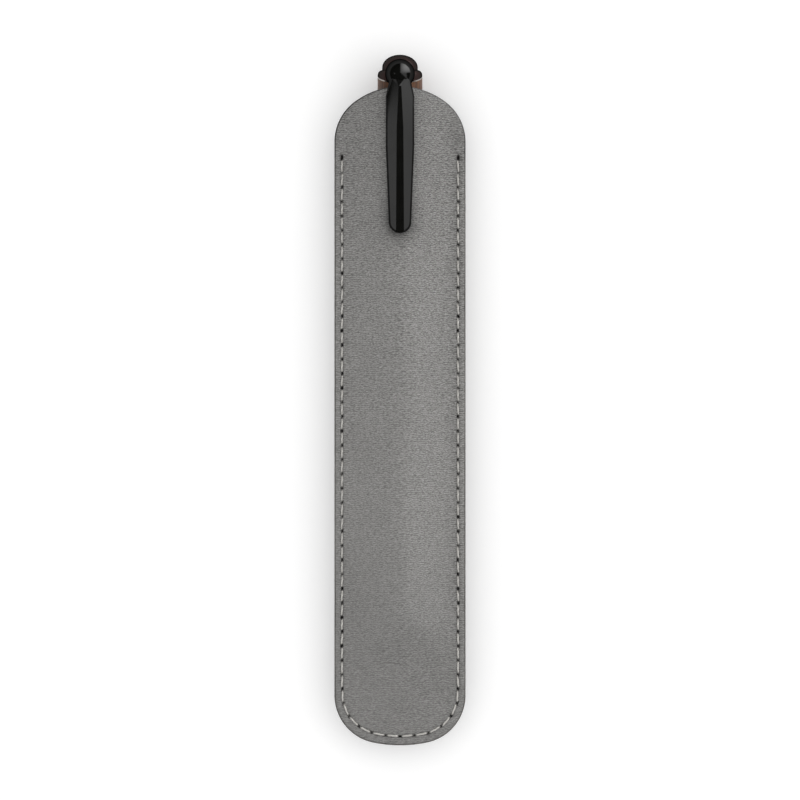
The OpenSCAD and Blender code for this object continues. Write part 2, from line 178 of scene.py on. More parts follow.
def surface(name, constants):
    """A material, its node tree, its shader with these constants, and the place on the piece."""
    material = bpy.data.materials.new(name)
    material.use_nodes = True
    tree = material.node_tree
    shader = tree.nodes["Principled BSDF"]
    for socket, value in constants.items():
        shader.inputs[socket].default_value = value
    place = add(tree, "ShaderNodeTexCoord").outputs["Object"]
    return material, tree, shader, place


def join(tree, shader, outputs):
    """Links these outputs to the shader's sockets."""
    for socket, output in outputs.items():
        tree.links.new(output, shader.inputs[socket])


# Painted light: the grain's strokes are made crisper from the closed end to the mouth, and crisper still to
# the right, as the light brings them out there, by CRISP_GAIN_X for each metre
CRISP_FROM_Y = -75 * MM
CRISP_TO_Y = 60 * MM
CRISP_LEAST = 0.85
CRISP_MOST = 1.35
CRISP_GAIN_X = 10.0
# The tone that the crisper grain departs from
MIDDLE_TONE = 0.5
# How much of the grain is pebbles, strokes and pores, each as a share of what is made so far
PEBBLE_SHARE = 0.3
STROKE_SHARE = 0.16
PORE_SHARE = 0.2
# Painted shade: the leather darkens towards both ends, where the light falls off, between these distances
# from the middle
END_SHADE_FROM = 25 * MM
END_SHADE_TO = 75 * MM


def cowhide():
    """Pigmented cowhide, plated and then milled: matt, with fine wrinkles that lie across the sleeve,
    so the light breaks into short pale and dark strokes. Coarser than the real grain, to show. It has
    painted shade in the needle holes, round the clip for the clip's shadow, and towards both ends."""
    material, tree, shader, place = surface("pigmented_cowhide", {
        "IOR": 1.45, "Specular IOR Level": 0.35, "Sheen Weight": 0.06, "Sheen Roughness": 0.5})
    across = add(tree, "ShaderNodeMapping", {"Vector": place, "Scale": per_mm(0.85, 0.22, 0.6)})
    wrinkles = add(tree, "ShaderNodeTexNoise", {
        "Vector": across.outputs[0], "Scale": 1, "Detail": 3, "Roughness": 0.6, "Distortion": 0.4})
    pebbly = add(tree, "ShaderNodeMapping", {"Vector": place, "Scale": per_mm(0.55, 0.26, 0.5)})
    pebbles = add(tree, "ShaderNodeTexVoronoi", {
        "Vector": pebbly.outputs[0], "Scale": 1, "Smoothness": 0.5}, feature="SMOOTH_F1")
    fine = add(tree, "ShaderNodeMapping", {"Vector": place, "Scale": per_mm(0.28, 0.16, 0.3)})
    pores = add(tree, "ShaderNodeTexNoise", {"Vector": fine.outputs[0], "Scale": 1, "Detail": 2})
    broad = add(tree, "ShaderNodeMapping", {"Vector": place, "Scale": per_mm(9, 14, 9)})
    clouds = add(tree, "ShaderNodeTexNoise", {"Vector": broad.outputs[0], "Scale": 1, "Detail": 2})
    pebble_height = add(tree, "ShaderNodeMath", {
        0: 1.0, 1: pebbles.outputs["Distance"]}, operation="SUBTRACT")
    rows = add(tree, "ShaderNodeMapping", {"Vector": place, "Scale": per_mm(1.4, 1.5, 1.5)})
    strokes = add(tree, "ShaderNodeTexWave", {
        "Vector": rows.outputs[0], "Scale": 1, "Distortion": 8, "Detail": 3, "Detail Scale": 1.3,
        "Detail Roughness": 0.6}, wave_type="BANDS", bands_direction="Y")
    soft = add(tree, "ShaderNodeMix", {
        0: PEBBLE_SHARE, 2: wrinkles.outputs["Fac"], 3: pebble_height.outputs[0]})
    grain = add(tree, "ShaderNodeMix", {0: STROKE_SHARE, 2: soft.outputs[0], 3: strokes.outputs["Fac"]})
    relief = add(tree, "ShaderNodeMix", {0: PORE_SHARE, 2: grain.outputs[0], 3: pores.outputs["Fac"]})
    tone = add(tree, "ShaderNodeMapRange", {
        "Value": relief.outputs[0], "From Min": 0.38, "From Max": 0.64})
    parts = add(tree, "ShaderNodeSeparateXYZ", {0: place})
    # Painted light: the grain is made crisper towards the mouth and to the right
    crisp_along = add(tree, "ShaderNodeMapRange", {
        "Value": parts.outputs["Y"], "From Min": CRISP_FROM_Y, "From Max": CRISP_TO_Y,
        "To Min": CRISP_LEAST, "To Max": CRISP_MOST})
    crispness = add(tree, "ShaderNodeMath", {
        0: parts.outputs["X"], 1: CRISP_GAIN_X, 2: crisp_along.outputs[0]}, operation="MULTIPLY_ADD")
    crisp = add(tree, "ShaderNodeMix", {
        0: crispness.outputs[0], 2: MIDDLE_TONE, 3: tone.outputs[0]}, clamp_factor=False)
    leather = add(tree, "ShaderNodeMix", {
        FACTOR: crisp.outputs[0], FIRST: linear("#656462"), SECOND: linear("#9a9997")}, data_type="RGBA",
        clamp_factor=False)
    cloudy = add(tree, "ShaderNodeMapRange", {
        "Value": clouds.outputs["Fac"], "From Min": 0.3, "From Max": 0.7, "To Min": 0.97, "To Max": 1.03})
    # Painted shade towards both ends of the sleeve
    from_middle = add(tree, "ShaderNodeMath", {0: parts.outputs["Y"]}, operation="ABSOLUTE")
    end_shade = add(tree, "ShaderNodeMapRange", {
        "Value": from_middle.outputs[0], "From Min": END_SHADE_FROM, "From Max": END_SHADE_TO,
        "To Min": 1.0, "To Max": 0.87}, interpolation_type="SMOOTHSTEP")
    # Painted shade round the clip, for its soft shadow on the leather
    painted_clip_shade = add(tree, "ShaderNodeAttribute", attribute_name="painted_clip_shade")
    unshaded = add(tree, "ShaderNodeMath", {0: 1.0, 1: painted_clip_shade.outputs["Fac"]}, operation="SUBTRACT")
    painted_shades = add(tree, "ShaderNodeMath", {0: end_shade.outputs[0], 1: unshaded.outputs[0]}, operation="MULTIPLY")
    tone_and_painted_shade = add(tree, "ShaderNodeMath", {0: cloudy.outputs[0], 1: painted_shades.outputs[0]}, operation="MULTIPLY")
    dyed_and_shaded = add(tree, "ShaderNodeVectorMath", {
        0: leather.outputs[MIXED], "Scale": tone_and_painted_shade.outputs[0]}, operation="SCALE")
    # Painted shade in the needle holes
    pierced = add(tree, "ShaderNodeAttribute", attribute_name="pierced")
    coloured = add(tree, "ShaderNodeMix", {
        FACTOR: pierced.outputs["Fac"], FIRST: dyed_and_shaded.outputs[0], SECOND: linear("#2a2826")},
        data_type="RGBA")
    worn = add(tree, "ShaderNodeMapRange", {"Value": relief.outputs[0], "To Min": 0.72, "To Max": 0.55})
    bump = add(tree, "ShaderNodeBump", {
        "Height": relief.outputs[0], "Strength": 1.0, "Distance": 0.16 * MM})
    join(tree, shader, {
        "Base Color": coloured.outputs[MIXED], "Roughness": worn.outputs[0], "Normal": bump.outputs[0]})
    return material


def flesh_side():
    """The back of the same hide, split and brushed: a flat short nap, with no grain to catch the light.
    The nap is drawn coarser than the real one, to show."""
    material, tree, shader, place = surface("brushed_flesh_side", {
        "IOR": 1.45, "Roughness": 0.9, "Specular IOR Level": 0.1, "Sheen Weight": 0.3,
        "Sheen Roughness": 0.6})
    short = add(tree, "ShaderNodeMapping", {"Vector": place, "Scale": per_mm(0.25, 0.4, 0.25)})
    nap = add(tree, "ShaderNodeTexNoise", {
        "Vector": short.outputs[0], "Scale": 1, "Detail": 4, "Roughness": 0.7})
    colour = add(tree, "ShaderNodeMix", {
        FACTOR: nap.outputs["Fac"], FIRST: linear("#4e4c49"), SECOND: linear("#7d7a76")}, data_type="RGBA")
    bump = add(tree, "ShaderNodeBump", {
        "Height": nap.outputs["Fac"], "Strength": 0.8, "Distance": 0.12 * MM})
    join(tree, shader, {"Base Color": colour.outputs[MIXED], "Normal": bump.outputs[0]})
    return material


def waxed_thread():
    """Twisted polyester sewing thread, waxed: pale, with a soft sheen along each ply, and painted shade
    where it goes down into its holes. The fibres are drawn coarser than real ones, to show."""
    material, tree, shader, place = surface("waxed_polyester_thread", {
        "IOR": 1.5, "Sheen Weight": 0.25, "Sheen Roughness": 0.4, "Roughness": 0.6})
    fibres = add(tree, "ShaderNodeMapping", {"Vector": place, "Scale": per_mm(0.12, 0.12, 0.12)})
    fuzz = add(tree, "ShaderNodeTexNoise", {"Vector": fibres.outputs[0], "Scale": 1, "Detail": 2})
    unshaded = add(tree, "ShaderNodeMix", {
        FACTOR: fuzz.outputs["Fac"], FIRST: linear("#a5a29c"), SECOND: linear("#d0cec9")}, data_type="RGBA")
    painted_thread_shade = add(tree, "ShaderNodeAttribute", attribute_name="painted_thread_shade")
    colour = add(tree, "ShaderNodeMix", {
        FACTOR: painted_thread_shade.outputs["Fac"], FIRST: unshaded.outputs[MIXED], SECOND: linear("#1d1b19")},
        data_type="RGBA")
    bump = add(tree, "ShaderNodeBump", {
        "Height": fuzz.outputs["Fac"], "Strength": 0.5, "Distance": 0.03 * MM})
    join(tree, shader, {"Base Color": colour.outputs[MIXED], "Normal": bump.outputs[0]})
    return material


def edge_dressing(name, dark, light):
    """Acrylic edge dressing, rolled on and burnished: a dark satin skin, a little uneven."""
    material, tree, shader, place = surface(name, {"IOR": 1.49})
    runs = add(tree, "ShaderNodeMapping", {"Vector": place, "Scale": per_mm(1.5, 1.5, 0.3)})
    streaks = add(tree, "ShaderNodeTexNoise", {"Vector": runs.outputs[0], "Scale": 1, "Detail": 3})
    colour = add(tree, "ShaderNodeMix", {
        FACTOR: streaks.outputs["Fac"], FIRST: linear(dark), SECOND: linear(light)}, data_type="RGBA")
    gloss = add(tree, "ShaderNodeMapRange", {"Value": streaks.outputs["Fac"], "To Min": 0.4, "To Max": 0.6})
    bump = add(tree, "ShaderNodeBump", {
        "Height": streaks.outputs["Fac"], "Strength": 0.6, "Distance": 0.04 * MM})
    join(tree, shader, {
        "Base Color": colour.outputs[MIXED], "Roughness": gloss.outputs[0], "Normal": bump.outputs[0]})
    return material


def oiled_wood():
    """Turned and oiled walnut: brown, with fine dark pores along the pen, and a low shine."""
    material, tree, shader, place = surface("oiled_walnut", {
        "IOR": 1.5, "Roughness": 0.5, "Specular IOR Level": 0.25, "Coat Weight": 0.1,
        "Coat Roughness": 0.2})
    along = add(tree, "ShaderNodeMapping", {"Vector": place, "Scale": per_mm(0.7, 14, 0.7)})
    grain = add(tree, "ShaderNodeTexNoise", {
        "Vector": along.outputs[0], "Scale": 1, "Detail": 5, "Roughness": 0.65, "Distortion": 0.6})
    slim = add(tree, "ShaderNodeMapping", {"Vector": place, "Scale": per_mm(0.22, 3, 0.22)})
    pores = add(tree, "ShaderNodeTexNoise", {"Vector": slim.outputs[0], "Scale": 1, "Detail": 2})
    share = add(tree, "ShaderNodeMapRange", {
        "Value": grain.outputs["Fac"], "From Min": 0.3, "From Max": 0.7})
    wood = add(tree, "ShaderNodeMix", {
        FACTOR: share.outputs[0], FIRST: linear("#2f1b12"), SECOND: linear("#694327")}, data_type="RGBA")
    open_pore = add(tree, "ShaderNodeMapRange", {
        "Value": pores.outputs["Fac"], "From Min": 0.62, "From Max": 0.75})
    pored = add(tree, "ShaderNodeMix", {
        FACTOR: open_pore.outputs[0], FIRST: wood.outputs[MIXED], SECOND: linear("#38221a")},
        data_type="RGBA")
    bump = add(tree, "ShaderNodeBump", {
        "Height": grain.outputs["Fac"], "Strength": 0.3, "Distance": 0.02 * MM})
    join(tree, shader, {"Base Color": pored.outputs[MIXED], "Normal": bump.outputs[0]})
    return material


def glossy_solid(name, dark, light, roughness, patch, constants=()):
    """A moulded or sprayed gloss: two near tones in soft patches, and a faint unevenness in the shine."""
    material, tree, shader, place = surface(name, {"IOR": 1.5, **dict(constants)})
    soft = add(tree, "ShaderNodeMapping", {"Vector": place, "Scale": per_mm(patch, patch, patch)})
    cloud = add(tree, "ShaderNodeTexNoise", {"Vector": soft.outputs[0], "Scale": 1, "Detail": 3})
    colour = add(tree, "ShaderNodeMix", {
        FACTOR: cloud.outputs["Fac"], FIRST: linear(dark), SECOND: linear(light)}, data_type="RGBA")
    shine = add(tree, "ShaderNodeMapRange", {
        "Value": cloud.outputs["Fac"], "To Min": roughness * 0.8, "To Max": roughness * 1.3})
    bump = add(tree, "ShaderNodeBump", {
        "Height": cloud.outputs["Fac"], "Strength": 0.15, "Distance": 0.01 * MM})
    join(tree, shader, {
        "Base Color": colour.outputs[MIXED], "Roughness": shine.outputs[0], "Normal": bump.outputs[0]})
    return material


def polished_steel(name, low, high, roughness):
    """Stainless steel, turned and buffed: bright, with faint rings round the pen, which are drawn wider
    than the real tool marks, to show."""
    material, tree, shader, place = surface(name, {"Metallic": 1.0})
    rings = add(tree, "ShaderNodeMapping", {"Vector": place, "Scale": per_mm(6, 0.12, 6)})
    marks = add(tree, "ShaderNodeTexNoise", {"Vector": rings.outputs[0], "Scale": 1, "Detail": 3})
    colour = add(tree, "ShaderNodeMix", {
        FACTOR: marks.outputs["Fac"], FIRST: linear(low), SECOND: linear(high)}, data_type="RGBA")
    shine = add(tree, "ShaderNodeMapRange", {
        "Value": marks.outputs["Fac"], "To Min": roughness * 0.7, "To Max": roughness * 1.4})
    bump = add(tree, "ShaderNodeBump", {
        "Height": marks.outputs["Fac"], "Strength": 0.2, "Distance": 0.01 * MM})
    join(tree, shader, {
        "Base Color": colour.outputs[MIXED], "Roughness": shine.outputs[0], "Normal": bump.outputs[0]})
    return material


COWHIDE = cowhide()
FLESH_SIDE = flesh_side()
THREAD = waxed_thread()
DRESSING = edge_dressing("burnished_edge_dressing", "#45433f", "#605e5a")
# The front leather's mouth edge is dressed darker than the other edges: painted shade, for the shadow along
# the mouth
SHADED_MOUTH_DRESSING = edge_dressing("mouth_edge_dressing_painted_shade", "#242321", "#353432")
WALNUT = oiled_wood()
# A smoked clear coat: its own face reflects nothing, and it darkens what is under it, most at a slant,
# so the rims stay black on a white table
SMOKE = {"Specular IOR Level": 1.0, "Coat Weight": 1.0, "Coat IOR": 1.0, "Coat Tint": linear("#939393")}
# Cast acrylic resin, polished: a very dark brown, nearly black, with a soft shine
RESIN = glossy_solid("cast_resin", "#341f1c", "#4c2f2a", 0.3, 4, {
    **SMOKE, "Specular IOR Level": 0.35, "Coat Tint": linear("#bcbcbc")})
# Black lacquer sprayed over brass: a deep even gloss
LACQUER = glossy_solid("black_lacquer", "#1b1b19", "#252522", 0.12, 3, SMOKE)
# Injection moulded ABS: black, with a soft shine
MOULDED = glossy_solid("moulded_abs", "#131313", "#1b1b1b", 0.4, 1.5)
# Acrylic rod, turned and polished for the grip: a clean black gloss
GRIP_RESIN = glossy_solid("polished_acrylic", "#0d0d0d", "#161616", 0.15, 3)
# Blow moulded polyethylene with blue ink behind it: cloudy, with a soft shine
CARTRIDGE = glossy_solid("inked_polyethylene", "#12244e", "#35548e", 0.3, 5, {"Subsurface Weight": 0.1})
# The cap's rings are turned and buffed bright, and the nib is ground to a softer shine
STEEL = polished_steel("buffed_stainless_steel", "#85807c", "#a19c97", 0.18)
NIB_STEEL = polished_steel("ground_nib_steel", "#8b8986", "#a8a6a2", 0.3)


# Mesh helpers

def whole(bm):
    """All the geometry of a bmesh."""
    return bm.verts[:] + bm.edges[:] + bm.faces[:]


def tidy_normals(bm):
    """Merges doubles and turns the faces outwards."""
    bmesh.ops.remove_doubles(bm, verts=bm.verts, dist=SAME_POINT)
    bmesh.ops.dissolve_degenerate(bm, edges=bm.edges, dist=SAME_POINT)
    bmesh.ops.recalc_face_normals(bm, faces=bm.faces)


# Edges that turn by more than this angle are square corners
SQUARE = math.radians(60)
# Edges that turn by more than this angle are creases in a piece's shading
CREASE = math.radians(35)


def sharp_edges(bm, least):
    """The edges whose two faces meet at more than this angle."""
    return [e for e in bm.edges if len(e.link_faces) == 2 and e.calc_face_angle(0) > least]


def cut(bm, point, normal):
    """Cuts away what is beyond a plane, and gives the geometry on the cut."""
    return bmesh.ops.bisect_plane(bm, geom=whole(bm), plane_co=point, plane_no=normal, clear_outer=True,
                                  dist=SAME_POINT)["geom_cut"]


def thicken(bm):
    """Extrudes a sheet's faces where they are, and gives the points of the new faces."""
    grown = bmesh.ops.extrude_face_region(bm, geom=bm.faces[:], use_keep_orig=True)["geom"]
    return [part for part in grown if isinstance(part, bmesh.types.BMVert)]


def round_over(bm, edges, width, segments=2, clamp=True):
    """Bevels these edges."""
    bmesh.ops.bevel(bm, geom=edges, offset=width, offset_type="OFFSET", affect="EDGES", segments=segments,
                    profile=0.5, material=-1, clamp_overlap=clamp)


def turned(profile, steps=96):
    """A solid turned about the pen's middle line, from points of radius and Y. A profile that doesn't
    start on that line is closed back to its start."""
    bm = bmesh.new()
    points = [bm.verts.new((radius, y, PEN_Z)) for radius, y in profile]
    pairs = list(zip(points, points[1:]))
    if profile[0][0] > 0:
        pairs.append((points[-1], points[0]))
    edges = [bm.edges.new(pair) for pair in pairs]
    bmesh.ops.spin(bm, geom=points + edges, cent=(0, 0, PEN_Z), axis=(0, 1, 0), angle=2 * math.pi,
                   steps=steps, use_merge=True)
    tidy_normals(bm)
    return bm


def slice_off(bm, point, normal):
    """Cuts away what is beyond a plane, and closes the cut, which is one loop or a ring of two."""
    rims = [part for part in cut(bm, point, normal) if isinstance(part, bmesh.types.BMEdge)]
    bmesh.ops.triangle_fill(bm, use_beauty=True, use_dissolve=True, edges=rims, normal=normal)
    tidy_normals(bm)


def mesh_of(bm, name):
    """A mesh of a bmesh, which is used up."""
    mesh = bpy.data.meshes.new(name)
    bm.to_mesh(mesh)
    bm.free()
    return mesh


def in_scene(name, data):
    """A new object in the scene."""
    made = bpy.data.objects.new(name, data)
    bpy.context.scene.collection.objects.link(made)
    return made


def combine(bm, tool, operation):
    """The bmesh joined with the tool's or cut by it. Both are used up."""
    first, other = (in_scene("temporary", mesh_of(part, "temporary")) for part in (bm, tool))
    modifier = first.modifiers.new("combine", "BOOLEAN")
    modifier.operation = operation
    modifier.solver = "EXACT"
    modifier.object = other
    finished = first.evaluated_get(bpy.context.evaluated_depsgraph_get())
    out = bmesh.new()
    out.from_mesh(bpy.data.meshes.new_from_object(finished))
    for used in (first, other):
        bpy.data.objects.remove(used)
    bmesh.ops.remove_doubles(out, verts=out.verts, dist=SAME_POINT)
    return out


def piece(name, bm, material, body, node, crease=CREASE, flats=True):
    """A finished piece of the object: it rides on a body and stands for a node. Where it has flats,
    their light stays flat up to the rounded edges."""
    for face in bm.faces:
        face.smooth = True
    for edge in sharp_edges(bm, crease):
        edge.smooth = False
    made = in_scene(name, mesh_of(bm, name))
    made.data.materials.append(material)
    if flats:
        made.modifiers.new("flats", "WEIGHTED_NORMAL").keep_sharp = True
    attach(made, body)
    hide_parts(node)
    return made


# The sleeve's outline and faces

def arch(shoulder_r, crown_r):
    """The angle of half a crown, and the rise of the whole arch of two shoulders and a crown."""
    angle = math.asin((HALF_W - shoulder_r) / (crown_r - shoulder_r))
    return angle, crown_r - (crown_r - shoulder_r) * math.cos(angle)


DOME_ANGLE, DOME_RISE = arch(DOME_SHOULDER_R, DOME_CROWN_R)
END_ANGLE, END_RISE = arch(END_SHOULDER_R, END_CROWN_R)
SHOULDER_X = HALF_W - DOME_SHOULDER_R
CORNER_X = HALF_W - END_SHOULDER_R
# Centre, radius, and the angles from +X where each arc starts and ends, on the right side
ARCS = (
    ((0, END_Y + END_CROWN_R), END_CROWN_R, -math.pi / 2, -math.pi / 2 + END_ANGLE),
    ((CORNER_X, END_Y + END_RISE), END_SHOULDER_R, -math.pi / 2 + END_ANGLE, 0),
    ((SHOULDER_X, MOUTH_Y - DOME_RISE), DOME_SHOULDER_R, 0, math.pi / 2 - DOME_ANGLE),
    ((0, MOUTH_Y - DOME_CROWN_R), DOME_CROWN_R, math.pi / 2 - DOME_ANGLE, math.pi / 2),
)
ARC_STEP = math.radians(4)


def trim(bm, inset):
    """Trims a flat sheet to the sleeve's outline, drawn in by inset, with cuts along its tangents."""
    for centre, radius, start, stop in ARCS:
        steps = max(2, round((stop - start) / ARC_STEP))
        for i in range(steps + 1):
            angle = start + (stop - start) * i / steps
            for side in (-1, 1):
                normal = Vector((side * math.cos(angle), math.sin(angle), 0))
                middle = Vector((side * centre[0], centre[1], 0))
                cut(bm, middle + normal * (radius - inset), normal)


def from_border(x, y):
    """How far a point is inside the sleeve's outline."""
    x = abs(x)
    for (centre_x, centre_y), radius, start, stop in ARCS:
        angle = math.atan2(y - centre_y, x - centre_x)
        beyond = y < centre_y if start < 0 else y > centre_y
        if beyond and start <= angle <= stop:
            return radius - math.hypot(x - centre_x, y - centre_y)
    return HALF_W - x


def wave(share):
    """1 at no share, falling to 0 at a whole one in half a wave."""
    return (1 + math.cos(math.pi * min(max(share, 0), 1))) / 2


def swell(y):
    """How full the pocket is at this place along it."""
    return wave((FALL_START_Y - y) / POCKET_FALL_L)


def front_inside(x, y):
    """Height of the front leather's inner face."""
    return SEAM_Z + FRONT_RISE * swell(y) * wave(abs(x) / FOOT_X)


def back_inside(x, y):
    """Height of the back leather's inner face."""
    return SEAM_Z - BACK_RISE * swell(y) * wave((abs(x) - STRIP_X) / (FOOT_X - STRIP_X))


def outside(inside, x, y, thickness):
    """Height of the face that is a thickness away from an inner face, square to it."""
    step = 0.01 * MM
    tries = 6
    from_x = x
    for _ in range(tries):
        slope = (inside(from_x + step, y) - inside(from_x - step, y)) / (2 * step)
        from_x = x + thickness * slope / math.hypot(1, slope)
    return inside(from_x, y) + thickness / math.hypot(1, slope)


# The needle holes, by the distance along half of the seam from the middle of the closed end
SEAM_CROWN_R = END_CROWN_R - SEAM_INSET
SEAM_SHOULDER_R = END_SHOULDER_R - SEAM_INSET
SEAM_CROWN_L = SEAM_CROWN_R * END_ANGLE
SEAM_CORNER_L = SEAM_SHOULDER_R * (math.pi / 2 - END_ANGLE)
SEAM_SIDE_Y = END_Y + END_SEAM_SHIFT + END_RISE
SEAM_HALF_L = SEAM_CROWN_L + SEAM_CORNER_L + SEWING_Y - SEAM_SIDE_Y
HALF_STITCHES = round(SEAM_HALF_L / STITCH_PITCH)
STITCH_STEP = SEAM_HALF_L / HALF_STITCHES


def needle_hole(i):
    """The place of a needle hole, counted from the middle of the closed end."""
    s = abs(i) * STITCH_STEP
    side = -1 if i < 0 else 1
    if s < SEAM_CROWN_L:
        angle = s / SEAM_CROWN_R
        x = SEAM_CROWN_R * math.sin(angle)
        y = END_Y + END_SEAM_SHIFT + END_CROWN_R - SEAM_CROWN_R * math.cos(angle)
    elif s < SEAM_CROWN_L + SEAM_CORNER_L:
        angle = END_ANGLE + (s - SEAM_CROWN_L) / SEAM_SHOULDER_R
        x = CORNER_X + SEAM_SHOULDER_R * math.sin(angle)
        y = SEAM_SIDE_Y - SEAM_SHOULDER_R * math.cos(angle)
    else:
        x = HALF_W - SEAM_INSET
        y = SEAM_SIDE_Y + s - SEAM_CROWN_L - SEAM_CORNER_L
    return Vector((side * x, y, 0))


HOLES = [needle_hole(i) for i in range(-HALF_STITCHES, HALF_STITCHES + 1)]

# Along the seam, a needle hole is deepest within the radius of its floor, and ends at HOLE_R
HOLE_R = 0.78 * MM
HOLE_FLOOR_R = 0.48 * MM
# How far the holes stray from their places, to each side
HOLE_WOBBLE = 0.07 * MM
# How wide the holes are across the seam, as a share of their length along it
HOLE_ACROSS = 0.42
HOLE_DEPTH = 1.05 * MM
# A hole's painted shade is this power of its depth, and so it reaches further out than the dent
HOLE_SHADE = 0.6
# How far the least and the most open holes stand open, as shares
HOLE_OPEN = (0.5, 1.0)
# The first stitch of each side is sewn over twice, which draws its second hole nearly shut
HOLE_DRAWN_SHUT = 0.25
# The thread pulls the last hole of each side out into a drop
DROP_L = 0.7 * MM
PIERCING_SEED = 3
# The groove that the pulled thread makes
GROOVE_DEPTH = 0.14 * MM
GROOVE_HALF_W = 0.5 * MM
# The soft waves of the hide
HIDE_WAVE_H = 0.07 * MM
HIDE_WAVE_L = 11 * MM
# How far the leather falls to its cut edge, and over what width
EDGE_FALL_H = 0.18 * MM
EDGE_FALL_W = 0.7 * MM


def pierced_places():
    """The needle holes as pierced by hand, a little out of line, each with the way that the seam runs
    there. Then how open each is, and a tree that finds the nearest one."""
    dice = random.Random(PIERCING_SEED)
    runs = [b - a for a, b in zip([HOLES[0]] + HOLES, HOLES + [HOLES[-1]])]
    places = [(hole + Vector((dice.uniform(-1, 1), dice.uniform(-1, 1), 0)) * HOLE_WOBBLE,
               (before + after).normalized()) for hole, before, after in zip(HOLES, runs, runs[1:])]
    places += [(end + Vector((0, DROP_L / 2, 0)), run) for end, run in (places[0], places[-1])]
    open_shares = [dice.uniform(*HOLE_OPEN) for _ in HOLES]
    open_shares[0] = open_shares[-1] = 1.0
    open_shares[1] = open_shares[-2] = HOLE_DRAWN_SHUT
    nearest = kdtree.KDTree(len(places))
    for number, (place, _) in enumerate(places):
        nearest.insert(place, number)
    nearest.balance()
    return places, open_shares + [1.0, 1.0], nearest


PIERCED, OPEN_SHARES, nearest_hole = pierced_places()


def hole_share(x, y):
    """How deep in a needle hole a point is: the share that the hole stands open on its floor, falling to
    0 at its rim."""
    place, number, distance = nearest_hole.find(Vector((x, y, 0)))
    if distance > HOLE_R:
        return 0
    off = Vector((x, y, 0)) - place
    along = off.dot(PIERCED[number][1])
    across = math.sqrt(max(0, off.length_squared - along ** 2)) / HOLE_ACROSS
    return OPEN_SHARES[number] * wave((math.hypot(along, across) - HOLE_FLOOR_R) / (HOLE_R - HOLE_FLOOR_R))


def dent(x, y):
    """How far the leather's outer face lies under its plain form at a point."""
    inside = from_border(x, y)
    depth = EDGE_FALL_H * wave(inside / EDGE_FALL_W)
    depth += HIDE_WAVE_H * noise.noise(Vector((x, y, 0)) / HIDE_WAVE_L)
    if y < SEWING_Y + DROP_L + HOLE_R:
        shift = END_SEAM_SHIFT if y < SEAM_SIDE_Y else 0
        from_seam = (inside - SEAM_INSET - shift) / GROOVE_HALF_W
        depth += GROOVE_DEPTH * math.exp(-from_seam ** 2) + HOLE_DEPTH * hole_share(x, y)
    return depth


# Painted shade on the front leather round the clip, for the clip's soft shadow: the strength at its tip,
# the least strength, reached this far above the tip, and the width outside the clip that it fades over.
CLIP_SHADE_TIP = 0.62
CLIP_SHADE_TOP = 0.25
CLIP_SHADE_L = 14 * MM
CLIP_SHADE_SOFT_W = 1.7 * MM


def clip_shade(x, y):
    """How much painted shade the clip's shadow puts on the leather at a point, falling off away from the
    clip's outline.
    """
    up = y - CLIP_TIP_Y - CLIP_TIP_R
    if up < 0:
        off = math.hypot(x, up) - CLIP_TIP_R
    else:
        widen = min(1, up / (CLIP_TAPER_Y - CLIP_TIP_Y - CLIP_TIP_R))
        off = abs(x) - CLIP_TIP_R - (CLIP_SIDE_X - CLIP_TIP_R) * widen
    strength = CLIP_SHADE_TOP + (CLIP_SHADE_TIP - CLIP_SHADE_TOP) * wave((y - CLIP_TIP_Y) / CLIP_SHADE_L)
    return strength * math.exp(-max(0, off) / CLIP_SHADE_SOFT_W)


# A leather's cells, and how wide the bands of finer ones are along the seam and the mouth's edge
SHEET_CELL = 0.7 * MM
FINE_BAND = 3.3 * MM
MOUTH_BAND = 0.9 * MM
SHEET_W = 2 * HALF_W
SHEET_L = MOUTH_Y - END_Y
# Lays a square with sides of 1 over the sleeve's outline
SHEET_PLACE = Matrix.Translation((0, (MOUTH_Y + END_Y) / 2, 0)) @ Matrix.Diagonal((SHEET_W, SHEET_L, 1, 1))


def leather_sheet():
    """A flat sheet of the sleeve's outline, with fine cells along the seam and the mouth's edge."""
    bm = bmesh.new()
    # Layers for painted shade in the needle holes and round the clip
    bm.verts.layers.float.new("pierced")
    bm.verts.layers.float.new("painted_clip_shade")
    bmesh.ops.create_grid(bm, size=0.5, matrix=SHEET_PLACE, x_segments=round(SHEET_W / SHEET_CELL),
                          y_segments=round(SHEET_L / SHEET_CELL))
    trim(bm, COAT_T)

    def is_near(vert):
        """Whether a point is in a band of fine cells."""
        x, y = vert.co.xy
        return from_border(x, y) < (FINE_BAND if y < SEWING_Y + FINE_BAND else MOUTH_BAND)

    near = {vert for vert in bm.verts if is_near(vert)}
    edges = [e for e in bm.edges if e.verts[0] in near and e.verts[1] in near]
    bmesh.ops.subdivide_edges(bm, edges=edges, cuts=2, use_grid_fill=True)
    return bm


# Creases in the leather's shading turn by more than this, which its dents don't
LEATHER_CREASE = math.radians(75)


